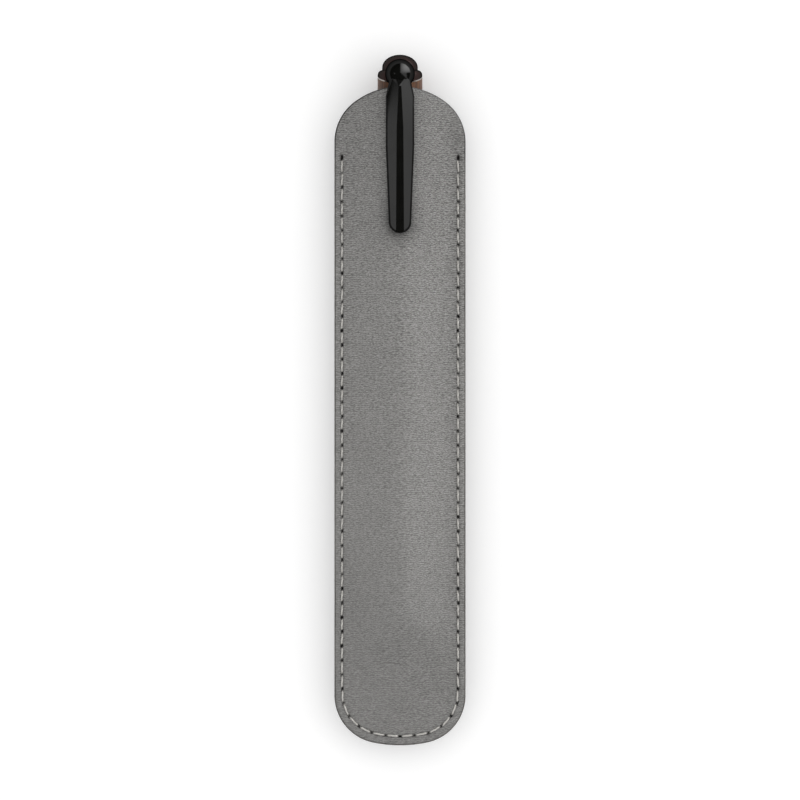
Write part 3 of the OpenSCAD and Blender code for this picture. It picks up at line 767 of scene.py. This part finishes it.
def leather_panel(name, node, inside, thickness):
    """A leather of the sleeve: its inner face is plain, and its outer face has the seam's dents."""
    bm = leather_sheet()
    outward = 1 if thickness > 0 else -1
    outer_verts = set(thicken(bm))
    pierced, painted_clip_shade = bm.verts.layers.float["pierced"], bm.verts.layers.float["painted_clip_shade"]
    for vert in bm.verts:
        x, y, _ = vert.co
        if vert in outer_verts:
            vert.co.z = max(0, outside(inside, x, y, thickness) - outward * dent(x, y))
            # Painted shade in the needle holes, and on the front leather round the clip
            vert[pierced] = hole_share(x, y) ** HOLE_SHADE
            vert[painted_clip_shade] = clip_shade(x, y) if outward > 0 else 0
        else:
            vert.co.z = inside(x, y)
    for face in bm.faces:
        face.material_index = 0 if any(vert in outer_verts for vert in face.verts) else 1
    bmesh.ops.recalc_face_normals(bm, faces=bm.faces)
    made = piece(name, bm, COWHIDE, "sleeve", node, LEATHER_CREASE, flats=False)
    made.data.materials.append(FLESH_SIDE)


leather_panel("front_leather", "front_panel", front_inside, LEATHER_T)
leather_panel("back_leather", "back_panel", back_inside, -LEATHER_T)


# The dressing on the cut edges

# The dressing's outer edges turn by more than this angle, and are rounded this wide
DRESSING_SHARP = math.radians(50)
DRESSING_ROUND = COAT_T * 0.7
# Half the sides of a square that SHEET_PLACE makes larger than the outline, so that trimming makes
# the whole outline
OVERSIZE = 0.6


def is_upright(edge):
    """Whether an edge runs straight up."""
    start, stop = (vert.co for vert in edge.verts)
    return abs(start.y - stop.y) + abs(start.x - stop.x) <= SAME_POINT * 10


def dressed_edge(name, node, lower, upper, keep_mouth, finish):
    """The skin of dressing along the cut edge, between two heights that follow the leather."""
    bm = bmesh.new()
    bmesh.ops.create_grid(bm, x_segments=1, y_segments=1, size=OVERSIZE, matrix=SHEET_PLACE)
    trim(bm, 0)
    bmesh.ops.inset_region(bm, faces=bm.faces[:], thickness=COAT_T, use_even_offset=True,
                           use_boundary=True)
    middle = max(bm.faces, key=lambda face: face.calc_area())
    bmesh.ops.delete(bm, geom=[middle], context="FACES_ONLY")
    cut(bm, (0, SEWING_Y, 0), (0, -1 if keep_mouth else 1, 0))
    top_verts = set(thicken(bm))
    for vert in bm.verts:
        x, y, _ = vert.co
        vert.co.z = upper(x, y) if vert in top_verts else lower(x, y)
    tidy_normals(bm)
    outer = [e for e in sharp_edges(bm, DRESSING_SHARP)
             if all(from_border(*v.co.xy) < COAT_T / 2 for v in e.verts) and not is_upright(e)]
    round_over(bm, outer, DRESSING_ROUND, segments=3)
    tidy_normals(bm)
    piece(name, bm, finish, "sleeve", node)


def front_top(x, y):
    """Height of the dressing's top on the front leather."""
    return outside(front_inside, x, y, LEATHER_T) - EDGE_FALL_H / 2


def back_bottom(x, y):
    """Height of the dressing's underside on the back leather."""
    return outside(back_inside, x, y, -LEATHER_T) + EDGE_FALL_H / 2


dressed_edge("seam_edge", "seam_edge_paint", back_bottom, front_top,
             keep_mouth=False, finish=DRESSING)
dressed_edge("front_mouth_edge", "front_mouth_edge_paint", front_inside, front_top,
             keep_mouth=True, finish=SHADED_MOUTH_DRESSING)
dressed_edge("back_mouth_edge", "back_mouth_edge_paint", back_bottom, back_inside,
             keep_mouth=True, finish=DRESSING)


# The stitches

# Each stitch ends this far short of the middle of its hole
STITCH_GAP = THREAD_D * 0.08
# Half a stitch's length, its whole height, and the arc through its ends and its crest
STITCH_REACH = (STITCH_STEP - THREAD_D) / 2 - STITCH_GAP
STITCH_SAG = STITCH_CREST + STITCH_DIP
STITCH_R = (STITCH_REACH ** 2 + STITCH_SAG ** 2) / (2 * STITCH_SAG)
STITCH_ANGLE = math.asin(STITCH_REACH / STITCH_R)
STITCH_RINGS = 10
THREAD_SIDES = 9
# Creases in the thread's shading turn by more than this, which its plies don't
THREAD_CREASE = math.radians(70)
PLIES = 3
# Half the depth of the grooves between the plies, as a share of the thread's radius
PLY_DEPTH = 0.16
# The turn of the plies from a stitch's middle to its end
TWIST = math.radians(150)
# The shares of a stitch's half where its painted shade in the hole starts, and where it is darkest
SUNK_FROM = 0.67
SUNK_TO = 0.81
# A lockstitch lies a little aslant, because the thread goes down on one side of the hole
STITCH_LEAN = math.radians(3.2)
# How much of that lean a stitch has, and how many millimetres it is raised or sunk, both by chance
LEAN_SHARES = (0.2, 1.7)
STITCH_LIFT = 0.03


def one_stitch():
    """An arc of three-ply thread, its middle at the origin on the leather, along X."""
    bm = bmesh.new()
    painted_thread_shade = bm.verts.layers.float.new("painted_thread_shade")
    ring = bmesh.ops.create_circle(bm, segments=THREAD_SIDES, radius=THREAD_D / 2)["verts"]
    for vert in ring:
        vert.co *= 1 + PLY_DEPTH * (math.cos(PLIES * math.atan2(vert.co.y, vert.co.x)) - 1)
    start = (Matrix.Rotation(-STITCH_ANGLE, 4, "Y") @ Matrix.Translation((0, 0, STITCH_R))
             @ Matrix.Rotation(math.pi / 2, 4, "Y"))
    bmesh.ops.transform(bm, matrix=start, verts=ring)
    bmesh.ops.spin(bm, geom=ring + bm.edges[:], cent=(0, 0, 0), axis=(0, 1, 0), angle=2 * STITCH_ANGLE,
                   steps=STITCH_RINGS)
    bmesh.ops.holes_fill(bm, edges=[e for e in bm.edges if e.is_boundary])
    for vert in bm.verts:
        angle = math.atan2(vert.co.x, vert.co.z)
        centre = Vector((math.sin(angle), 0, math.cos(angle))) * STITCH_R
        along = Vector((math.cos(angle), 0, -math.sin(angle)))
        vert.co = centre + Matrix.Rotation(TWIST * angle / STITCH_ANGLE, 3, along) @ (vert.co - centre)
        # Painted shade where the thread goes down into its hole
        vert[painted_thread_shade] = 1 - wave((abs(angle) / STITCH_ANGLE - SUNK_FROM) / (SUNK_TO - SUNK_FROM))
    bmesh.ops.translate(bm, vec=(0, 0, STITCH_CREST - STITCH_R), verts=bm.verts)
    tidy_normals(bm)
    return mesh_of(bm, "one_stitch")


STITCH = one_stitch()


def stitch_row(name, node, up, seed):
    """A row of stitches on the front leather, where up is 1, or on the back leather, where it is -1. A
    stitch's painted shade in a hole is darker the more open the hole is."""
    dice = random.Random(seed)
    bm = bmesh.new()
    for start, stop, start_open, stop_open in zip(HOLES, HOLES[1:], OPEN_SHARES, OPEN_SHARES[1:]):
        first = len(bm.verts)
        bm.from_mesh(STITCH)
        bm.verts.ensure_lookup_table()
        painted_thread_shade = bm.verts.layers.float["painted_thread_shade"]
        for vert in bm.verts[first:]:
            # The painted shade in a hole is as dark as that hole is open
            vert[painted_thread_shade] *= start_open if vert.co.x < 0 else stop_open
        run = stop - start
        lean = math.copysign(STITCH_LEAN, start.x + stop.x) * dice.uniform(*LEAN_SHARES)
        lift = dice.uniform(-STITCH_LIFT, STITCH_LIFT) * MM
        place = (Matrix.Translation((start + stop) / 2 + Vector((0, 0, SEAM_Z + up * (LEATHER_T + lift))))
                 @ Matrix.Rotation(math.atan2(run.y, run.x) + lean, 4, "Z"))
        if up < 0:
            place = place @ Matrix.Rotation(math.pi, 4, "X")
        bmesh.ops.transform(bm, matrix=place, verts=bm.verts[first:])
    bmesh.ops.recalc_face_normals(bm, faces=bm.faces)
    piece(name, bm, THREAD, "sleeve", node, THREAD_CREASE, flats=False)


stitch_row("needle_stitches", "needle_thread", up=1, seed=7)
stitch_row("bobbin_stitches", "bobbin_thread", up=-1, seed=11)


# The cap

# The hollow that the finial's stud goes through
STUD_HOLE_R = STUD_R + TURN_GAP
# The finial's shoulder from its rim up to the dome, as shares of its width: out from the dome, and
# down from the dome's foot
SHOULDER_CURVE = ((1, 2), (0.98, 1.6), (0.9, 1.2), (0.7, 0.9), (0.4, 0.68), (0, 0.55))
# The two turned lines of the lip: how deep they are, and how far from its middle
LIP_LINE_DEPTH = 0.12 * MM
LIP_LINE_OFF = 0.5 * MM


def ring_plane(rise):
    """A point and the normal of a plane that slants like the cap's ring."""
    return Vector((0, RING_Y + rise, PEN_Z)), Vector((0, math.cos(RING_SLANT), math.sin(RING_SLANT)))


def head_ball(gap):
    """The clip's round head, or the hollow for it."""
    bm = bmesh.new()
    bmesh.ops.create_uvsphere(
        bm, u_segments=72, v_segments=36, radius=CLIP_HEAD_R + gap,
        matrix=Matrix.Translation((0, CLIP_HEAD_Y, CLIP_HEAD_Z)) @ Matrix.Rotation(math.pi / 2, 4, "Y"))
    return bm


def cap_wood():
    """The cap's wooden tube, bored from its lip up to the web, and cut off under the slanted ring."""
    bm = turned([(CAP_BORE_R, BAND_TOP_Y), (CAP_R, BAND_TOP_Y), (CAP_R, PEN_TOP_Y),
                 (STUD_HOLE_R, PEN_TOP_Y), (STUD_HOLE_R, WEB_Y), (CAP_BORE_R, WEB_Y)])
    slice_off(bm, *ring_plane(0))
    bm = combine(bm, head_ball(TURN_GAP), "DIFFERENCE")
    piece("cap_wood", bm, WALNUT, "cap", "cap_tube")


def cap_ring():
    """The slanted ring between the wood and the finial."""
    bm = turned([(STUD_HOLE_R, WEB_Y), (CAP_R, WEB_Y), (CAP_R, PEN_TOP_Y), (STUD_HOLE_R, PEN_TOP_Y)])
    slice_off(bm, *ring_plane(RING_T))
    point, normal = ring_plane(0)
    slice_off(bm, point, -normal)
    bm = combine(bm, head_ball(TURN_GAP), "DIFFERENCE")
    piece("slanted_ring", bm, STEEL, "cap", "cap_ring")


def finial():
    """The cap's domed top: a quarter of an ellipse over a small shoulder, on a stud."""
    foot_y = PEN_TOP_Y - FINIAL_DOME_H
    shoulder = CAP_R - FINIAL_R
    low_y = RING_Y - CAP_R * math.tan(RING_SLANT)
    steps = 18
    dome = [(FINIAL_R * math.cos(a), foot_y + FINIAL_DOME_H * math.sin(a))
            for a in (math.pi / 2 * i / steps for i in range(steps))]
    round_shoulder = [(FINIAL_R + shoulder * share, foot_y - shoulder * fall)
                      for share, fall in SHOULDER_CURVE]
    bm = turned([(0, WEB_Y), (STUD_R, WEB_Y), (STUD_R, low_y), (CAP_R, low_y), *round_shoulder, *dome,
                 (0, PEN_TOP_Y)])
    block = bmesh.new()
    block_w = 4 * CAP_R
    bmesh.ops.create_cube(block, size=block_w)
    point, normal = ring_plane(RING_T)
    turn = Matrix.Rotation(RING_SLANT, 4, "X")
    bmesh.ops.transform(block, verts=block.verts,
                        matrix=Matrix.Translation(point - normal * block_w / 2) @ turn)
    stud = turned([(0, WEB_Y - CAP_R), (STUD_R, WEB_Y - CAP_R), (STUD_R, PEN_TOP_Y), (0, PEN_TOP_Y)])
    bm = combine(bm, combine(block, stud, "DIFFERENCE"), "DIFFERENCE")
    bm = combine(bm, head_ball(TURN_GAP), "DIFFERENCE")
    piece("finial", bm, RESIN, "cap", "cap_finial")


def cap_lip():
    """The cap's metal lip, with two fine turned lines."""
    line = LIP_LINE_DEPTH
    middle = (LIP_Y + BAND_TOP_Y) / 2
    lines = []
    for place in (middle - LIP_LINE_OFF, middle + LIP_LINE_OFF):
        lines += [(CAP_R, place - line), (CAP_R - line, place), (CAP_R, place + line)]
    bm = turned([(CAP_BORE_R, LIP_Y), (CAP_R, LIP_Y), *lines, (CAP_R, BAND_TOP_Y),
                 (CAP_BORE_R, BAND_TOP_Y)])
    rims = [e for e in sharp_edges(bm, SQUARE) if min(v.co.y for v in e.verts) < LIP_Y + line]
    round_over(bm, rims, line, segments=3)
    piece("cap_lip", bm, STEEL, "cap", "cap_band")


cap_wood()
cap_ring()
finial()
cap_lip()


# The clip

# Half of the flat's width, and where: nearly even along the arm, and then narrower up to the head
FLAT_TAPER = ((0.98 * MM, 45 * MM, 0.84 * MM, 68 * MM), (0.84 * MM, 68 * MM, 0.3 * MM, 79 * MM))
FACET_TILT = math.atan(0.4)
# Where the arm's top starts to fall to the head, and how steeply
NECK_Y = CLIP_HEAD_Y - 3.1 * MM
NECK_FALL = math.radians(11)
# Three points of the cut that takes each corner of the arm down to the head, in millimetres: across,
# along from the head's middle, and down from the arm's top
NECK_CUT = ((2.95, -4.9, 1.03), (2.95, -2.8, 1.65), (1.75, -0.85, 0.58))
# The arm's outer rims turn by more than this angle, lie this far above its underside and start this
# far before the middle of the head. They are rounded this wide. Steep edges aren't.
RIM_SHARP = math.radians(40)
RIM_RISE = 0.3 * MM
RIM_STOP = 0.1 * MM
RIM_ROUND = 0.48 * MM
# The flat's two edges turn by more than this angle, lie at its height and no further out than this.
# They are rounded this wide.
RIDGE_SHARP = math.radians(15)
RIDGE_LEAST_Z = CLIP_TOP_Z - 0.02 * MM
RIDGE_MOST_X = 1 * MM
RIDGE_ROUND = 0.08 * MM
# The head is cut clear of the mouth's edge by this much
HEAD_CLEARANCE = 0.3 * MM
# Creases in the clip's shading turn by more than this
CLIP_CREASE = math.radians(28)


def clip():
    """The clip: an arm with a flat along its middle and a facet on each side, and a round head."""
    bm = bmesh.new()
    length = CLIP_HEAD_Y - CLIP_TIP_Y
    place = (Matrix.Translation((0, (CLIP_HEAD_Y + CLIP_TIP_Y) / 2, 0))
             @ Matrix.Diagonal((2 * CLIP_SIDE_X, length, 1, 1)))
    bmesh.ops.create_grid(bm, x_segments=1, y_segments=1, size=0.5, matrix=place)
    tip_centre = Vector((0, CLIP_TIP_Y + CLIP_TIP_R, 0))
    taper = math.atan((CLIP_SIDE_X - CLIP_TIP_R) / (CLIP_TAPER_Y - tip_centre.y))
    steps = 24
    for i in range(steps + 1):
        angle = -math.pi / 2 + (math.pi / 2 - taper) * i / steps
        for side in (-1, 1):
            normal = Vector((side * math.cos(angle), math.sin(angle), 0))
            cut(bm, tip_centre + normal * CLIP_TIP_R, normal)
    bmesh.ops.translate(bm, verts=bm.verts, vec=(0, 0, CLIP_UNDER_Z))
    bmesh.ops.translate(bm, verts=thicken(bm), vec=(0, 0, CLIP_T))
    tidy_normals(bm)
    for side in (-1, 1):
        for x_low, y_low, x_high, y_high in FLAT_TAPER:
            ridge = Vector((side * (x_high - x_low), y_high - y_low, 0))
            down = Vector((side * math.cos(FACET_TILT), 0, -math.sin(FACET_TILT)))
            slice_off(bm, Vector((side * x_low, y_low, CLIP_TOP_Z)), side * down.cross(ridge).normalized())
        neck = [Vector((side * x * MM, CLIP_HEAD_Y + y * MM, CLIP_TOP_Z - fall * MM))
                for x, y, fall in NECK_CUT]
        slice_off(bm, neck[0], side * (neck[1] - neck[0]).cross(neck[2] - neck[0]).normalized())
    slice_off(bm, Vector((0, NECK_Y, CLIP_TOP_Z)), Vector((0, math.sin(NECK_FALL), math.cos(NECK_FALL))))
    tidy_normals(bm)
    rims = [e for e in sharp_edges(bm, RIM_SHARP)
            if min(v.co.z for v in e.verts) > CLIP_UNDER_Z + RIM_RISE
            and abs(e.verts[0].co.z - e.verts[1].co.z) < e.calc_length() / 2
            and min(v.co.y for v in e.verts) < CLIP_HEAD_Y - RIM_STOP]
    round_over(bm, rims, RIM_ROUND, segments=4, clamp=False)
    ridges = [e for e in sharp_edges(bm, RIDGE_SHARP)
              if all(abs(v.co.x) < RIDGE_MOST_X and v.co.z > RIDGE_LEAST_Z for v in e.verts)]
    round_over(bm, ridges, RIDGE_ROUND)
    tidy_normals(bm)
    head = head_ball(0)
    slice_off(head, Vector((0, MOUTH_Y + HEAD_CLEARANCE, 0)), Vector((0, -1, 0)))
    bm = combine(bm, head, "UNION")
    piece("clip_arm", bm, LACQUER, "clip", "clip", CLIP_CREASE)


clip()


# The barrel and the grip

# The collar's screw thread, and how far its tooth is sunk in the collar and reaches along it
SCREW_START_Y = LIP_Y + 1.2 * MM
SCREW_STOP_Y = COLLAR_Y - 1.4 * MM
SCREW_PITCH = 0.8 * MM
SCREW_DEPTH = 0.18 * MM
TOOTH_SINK = SCREW_DEPTH / 4
TOOTH_HALF_W = SCREW_PITCH / 2.4
# How wide the square corners of the barrel and of the grip are rounded
BARREL_ROUND = 0.15 * MM
GRIP_ROUND = 0.2 * MM
# The barrel tapers slowly at first and then faster: a power of 1 would be a straight taper
BARREL_TAPER = 1.8
# The foot's dome is fuller than an ellipse, which has a power of 1, and a fine line sets it off
FOOT_FULLNESS = 0.7
FOOT_LINE = 0.15 * MM
# How far the grip is drawn in at its waist, as a share of the collar's radius
GRIP_WAIST = 0.16


def screw_thread(bm):
    """Adds the helical ridge round the barrel's collar."""
    turns = (SCREW_STOP_Y - SCREW_START_Y) / SCREW_PITCH
    steps = 40
    profile = ((-TOOTH_SINK, -TOOTH_HALF_W), (SCREW_DEPTH, 0), (-TOOTH_SINK, TOOTH_HALF_W))
    tooth = [bm.verts.new((COLLAR_R + out, SCREW_START_Y + along, PEN_Z)) for out, along in profile]
    edges = [bm.edges.new(pair) for pair in zip(tooth, tooth[1:] + tooth[:1])]
    bmesh.ops.spin(bm, geom=tooth + edges, cent=(0, 0, PEN_Z), axis=(0, 1, 0), angle=2 * math.pi * turns,
                   steps=round(steps * turns), dvec=(0, SCREW_PITCH / steps, 0))
    bmesh.ops.holes_fill(bm, edges=[e for e in bm.edges if e.is_boundary], sides=3)


def barrel():
    """The tapering barrel, bored for the grip's tenon and the cartridge, with a screwed collar."""
    steps = 24
    shoulder_y = LIP_Y - TURN_GAP
    bore_r = TENON_R + TURN_GAP
    taper = [(BARREL_R - (BARREL_R - BARREL_FOOT_R) * (i / steps) ** BARREL_TAPER,
              shoulder_y - (shoulder_y - BARREL_FOOT_Y) * i / steps) for i in range(steps, -1, -1)]
    bm = turned([(0, BARREL_FOOT_Y), *taper, (COLLAR_R, shoulder_y), (COLLAR_R, COLLAR_Y),
                 (bore_r, COLLAR_Y), (bore_r, BORE_END_Y), (0, BORE_END_Y)])
    round_over(bm, sharp_edges(bm, SQUARE), BARREL_ROUND, segments=3)
    screw_thread(bm)
    bmesh.ops.recalc_face_normals(bm, faces=bm.faces)
    piece("barrel_wood", bm, WALNUT, "barrel", "barrel_tube")


def barrel_foot():
    """The barrel's rounded end piece, with a fine line where it meets the wood."""
    steps = 20
    length = BARREL_FOOT_Y - PEN_TIP_Y
    line = FOOT_LINE
    dome = [(BARREL_FOOT_R * math.cos(a) ** FOOT_FULLNESS, BARREL_FOOT_Y - length * math.sin(a))
            for a in (math.pi / 2 * i / steps for i in range(1, steps))]
    bm = turned([(0, BARREL_FOOT_Y), (BARREL_FOOT_R - line, BARREL_FOOT_Y),
                 (BARREL_FOOT_R - line, BARREL_FOOT_Y - line), (BARREL_FOOT_R, BARREL_FOOT_Y - 2 * line),
                 *[p for p in dome if p[1] < BARREL_FOOT_Y - 3 * line], (0, PEN_TIP_Y)])
    piece("barrel_foot", bm, RESIN, "barrel", "barrel_end")


def grip():
    """The grip, drawn in at its waist, with a screwed tenon and a lip before the nib."""
    steps = 24
    foot_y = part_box("section_ring")[1].y
    seat_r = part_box("nib")[1].x + TURN_GAP / 2
    seat_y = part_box("nib")[0].y
    waist = COLLAR_R * GRIP_WAIST
    sides = [(COLLAR_R + (GRIP_LIP_R - COLLAR_R) * i / steps - waist * math.sin(math.pi * i / steps),
              foot_y + (GRIP_Y - foot_y) * i / steps) for i in range(steps + 1)]
    bm = turned([(0, TENON_Y), (TENON_R, TENON_Y), (TENON_R, foot_y), *sides, (seat_r, GRIP_Y),
                 (seat_r, seat_y), (0, seat_y)])
    round_over(bm, sharp_edges(bm, SQUARE), GRIP_ROUND, segments=3)
    piece("grip", bm, GRIP_RESIN, "section", "grip_section")


barrel()
barrel_foot()
grip()

# The small inner pieces keep the construction's shape
INNER_FINISHES = (("inner_cap", MOULDED), ("section_ring", STEEL), ("feed", MOULDED), ("nib", NIB_STEEL),
                  ("ink_cartridge", CARTRIDGE))
for node_name, finish in INNER_FINISHES:
    node_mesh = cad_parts[node_name].data
    node_mesh.materials.clear()
    node_mesh.materials.append(finish)


# The studio

def light_path(tree):
    """1 where the camera sees a thing itself, in a reflection or through glass, and otherwise 0."""
    path = add(tree, "ShaderNodeLightPath")
    two = add(tree, "ShaderNodeMath", {0: path.outputs["Is Camera Ray"], 1: path.outputs["Is Glossy Ray"]},
              operation="MAXIMUM")
    return add(tree, "ShaderNodeMath", {0: two.outputs[0], 1: path.outputs["Is Transmission Ray"]},
               operation="MAXIMUM").outputs[0]


# The brightness of the fill overhead and at the horizon
FILL_TOP = 0.82
FILL_LOW = 1.28
# The brightness of the dark ceiling, and the heights of a direction where the walls fade into it
CEILING = 0.02
WALLS_FADE = (0.02, 0.12)
# Softboxes as shiny surfaces see them. Each edge is the X part, the Y part and the least sum of a
# direction in the box. Then their brightness, and what a box gains towards its upper right.
SOFTBOXES = (
    (((1, 0, 0.05), (0, 1, 0.12)), 1.5),
    (((1, 0, 0.1), (-1, 0, -0.8), (1, 1, 0.2), (0, -1, -0.3)), 1.5),
    (((1, 0, -0.75), (-1, 0, 0.63), (0, 1, -0.03), (0, -1, -0.07)), 2.1),
)
BOX_GLOW = 17
# Half of the soft width of a box's edge
BOX_BLUR = 0.02
# The floor: half its width in metres, how far it is under the object, and what is added where the
# camera or a reflection sees it, so that it shows white
FLOOR_HALF_W = 6.0
FLOOR_DROP = 0.02 * MM
FLOOR_BOOST = 0.2


def studio_world():
    """White walls at the horizon and a dark ceiling with softboxes, which the lacquer and the metal
    reflect. What falls on matt surfaces is one soft fill, brightest at the horizon."""
    world = bpy.data.worlds.new("studio")
    world.use_nodes = True
    bpy.context.scene.world = world
    tree = world.node_tree
    background = tree.nodes["Background"]
    background.inputs["Color"].default_value = linear("#ffffff")
    way = add(tree, "ShaderNodeTexCoord")
    parts = add(tree, "ShaderNodeSeparateXYZ", {0: way.outputs["Generated"]})
    height = add(tree, "ShaderNodeMapRange", {
        "Value": parts.outputs["Z"], "From Min": WALLS_FADE[0], "From Max": WALLS_FADE[1]},
        interpolation_type="SMOOTHSTEP")
    seen = add(tree, "ShaderNodeMapRange", {
        "Value": height.outputs[0], "To Min": 1.0, "To Max": CEILING}).outputs[0]
    corner = add(tree, "ShaderNodeMath", {
        0: parts.outputs["X"], 1: parts.outputs["Y"]}, operation="MULTIPLY")
    glow = add(tree, "ShaderNodeMapRange", {"Value": corner.outputs[0], "To Max": BOX_GLOW})
    for edges, brightness in SOFTBOXES:
        lit = add(tree, "ShaderNodeMath", {0: glow.outputs[0], 1: brightness}, operation="ADD").outputs[0]
        for x_part, y_part, least in edges:
            x_share = add(tree, "ShaderNodeMath", {0: parts.outputs["X"], 1: x_part}, operation="MULTIPLY")
            reach = add(tree, "ShaderNodeMath", {0: parts.outputs["Y"], 1: y_part, 2: x_share.outputs[0]},
                        operation="MULTIPLY_ADD")
            ramp = add(tree, "ShaderNodeMapRange", {
                "Value": reach.outputs[0], "From Min": least - BOX_BLUR, "From Max": least + BOX_BLUR},
                interpolation_type="SMOOTHSTEP")
            lit = add(tree, "ShaderNodeMath", {0: lit, 1: ramp.outputs[0]}, operation="MULTIPLY").outputs[0]
        seen = add(tree, "ShaderNodeMath", {0: seen, 1: lit}, operation="MAXIMUM").outputs[0]
    fill = add(tree, "ShaderNodeMapRange", {
        "Value": parts.outputs["Z"], "To Min": FILL_LOW, "To Max": FILL_TOP})
    strength = add(tree, "ShaderNodeMix", {0: light_path(tree), 2: fill.outputs[0], 3: seen})
    tree.links.new(strength.outputs[0], background.inputs["Strength"])


def studio_floor():
    """A white floor that keeps the object's shadow, a hair under the face that rests on it."""
    bm = bmesh.new()
    bmesh.ops.create_grid(bm, x_segments=1, y_segments=1, size=FLOOR_HALF_W,
                          matrix=Matrix.Translation((0, 0, -FLOOR_DROP)))
    floor = in_scene("floor", mesh_of(bm, "floor"))
    material, tree, shader, _ = surface("matt_white_floor", {"Roughness": 0.9, "Specular IOR Level": 0.0})
    shader.inputs["Base Color"].default_value = linear("#f2f2f2")
    shader.inputs["Emission Color"].default_value = linear("#ffffff")
    boost = add(tree, "ShaderNodeMath", {0: light_path(tree), 1: FLOOR_BOOST}, operation="MULTIPLY")
    tree.links.new(boost.outputs[0], shader.inputs["Emission Strength"])
    floor.data.materials.append(material)


def softbox(name, way, distance, width, height, brightness):
    """An area light that faces the object from a direction. Its face is white at a brightness of 1."""
    data = bpy.data.lights.new(name, "AREA")
    data.shape = "RECTANGLE"
    data.size = width
    data.size_y = height
    data.energy = brightness * math.pi * width * height
    lamp = in_scene(name, data)
    direction = Vector(way).normalized()
    lamp.location = MIDDLE + direction * distance
    lamp.rotation_mode = "QUATERNION"
    lamp.rotation_quaternion = direction.to_track_quat("Z", "Y")
    lamp.visible_camera = False
    lamp.visible_glossy = False


def camera():
    """Straight above the front, as in the photograph, whose frame is 200 mm across."""
    field, distance = 0.2, 3.0
    data = bpy.data.cameras.new("camera")
    data.sensor_width = 36
    data.lens = data.sensor_width * distance / field
    made = in_scene("camera", data)
    made.location = (0, 0, MIDDLE.z + distance)
    bpy.context.scene.camera = made


studio_world()
studio_floor()
softbox("key", way=(0.72, -0.1, 0.62), distance=0.5, width=0.4, height=0.3, brightness=0.405)
camera()
bpy.context.scene.view_settings.view_transform = "Standard"
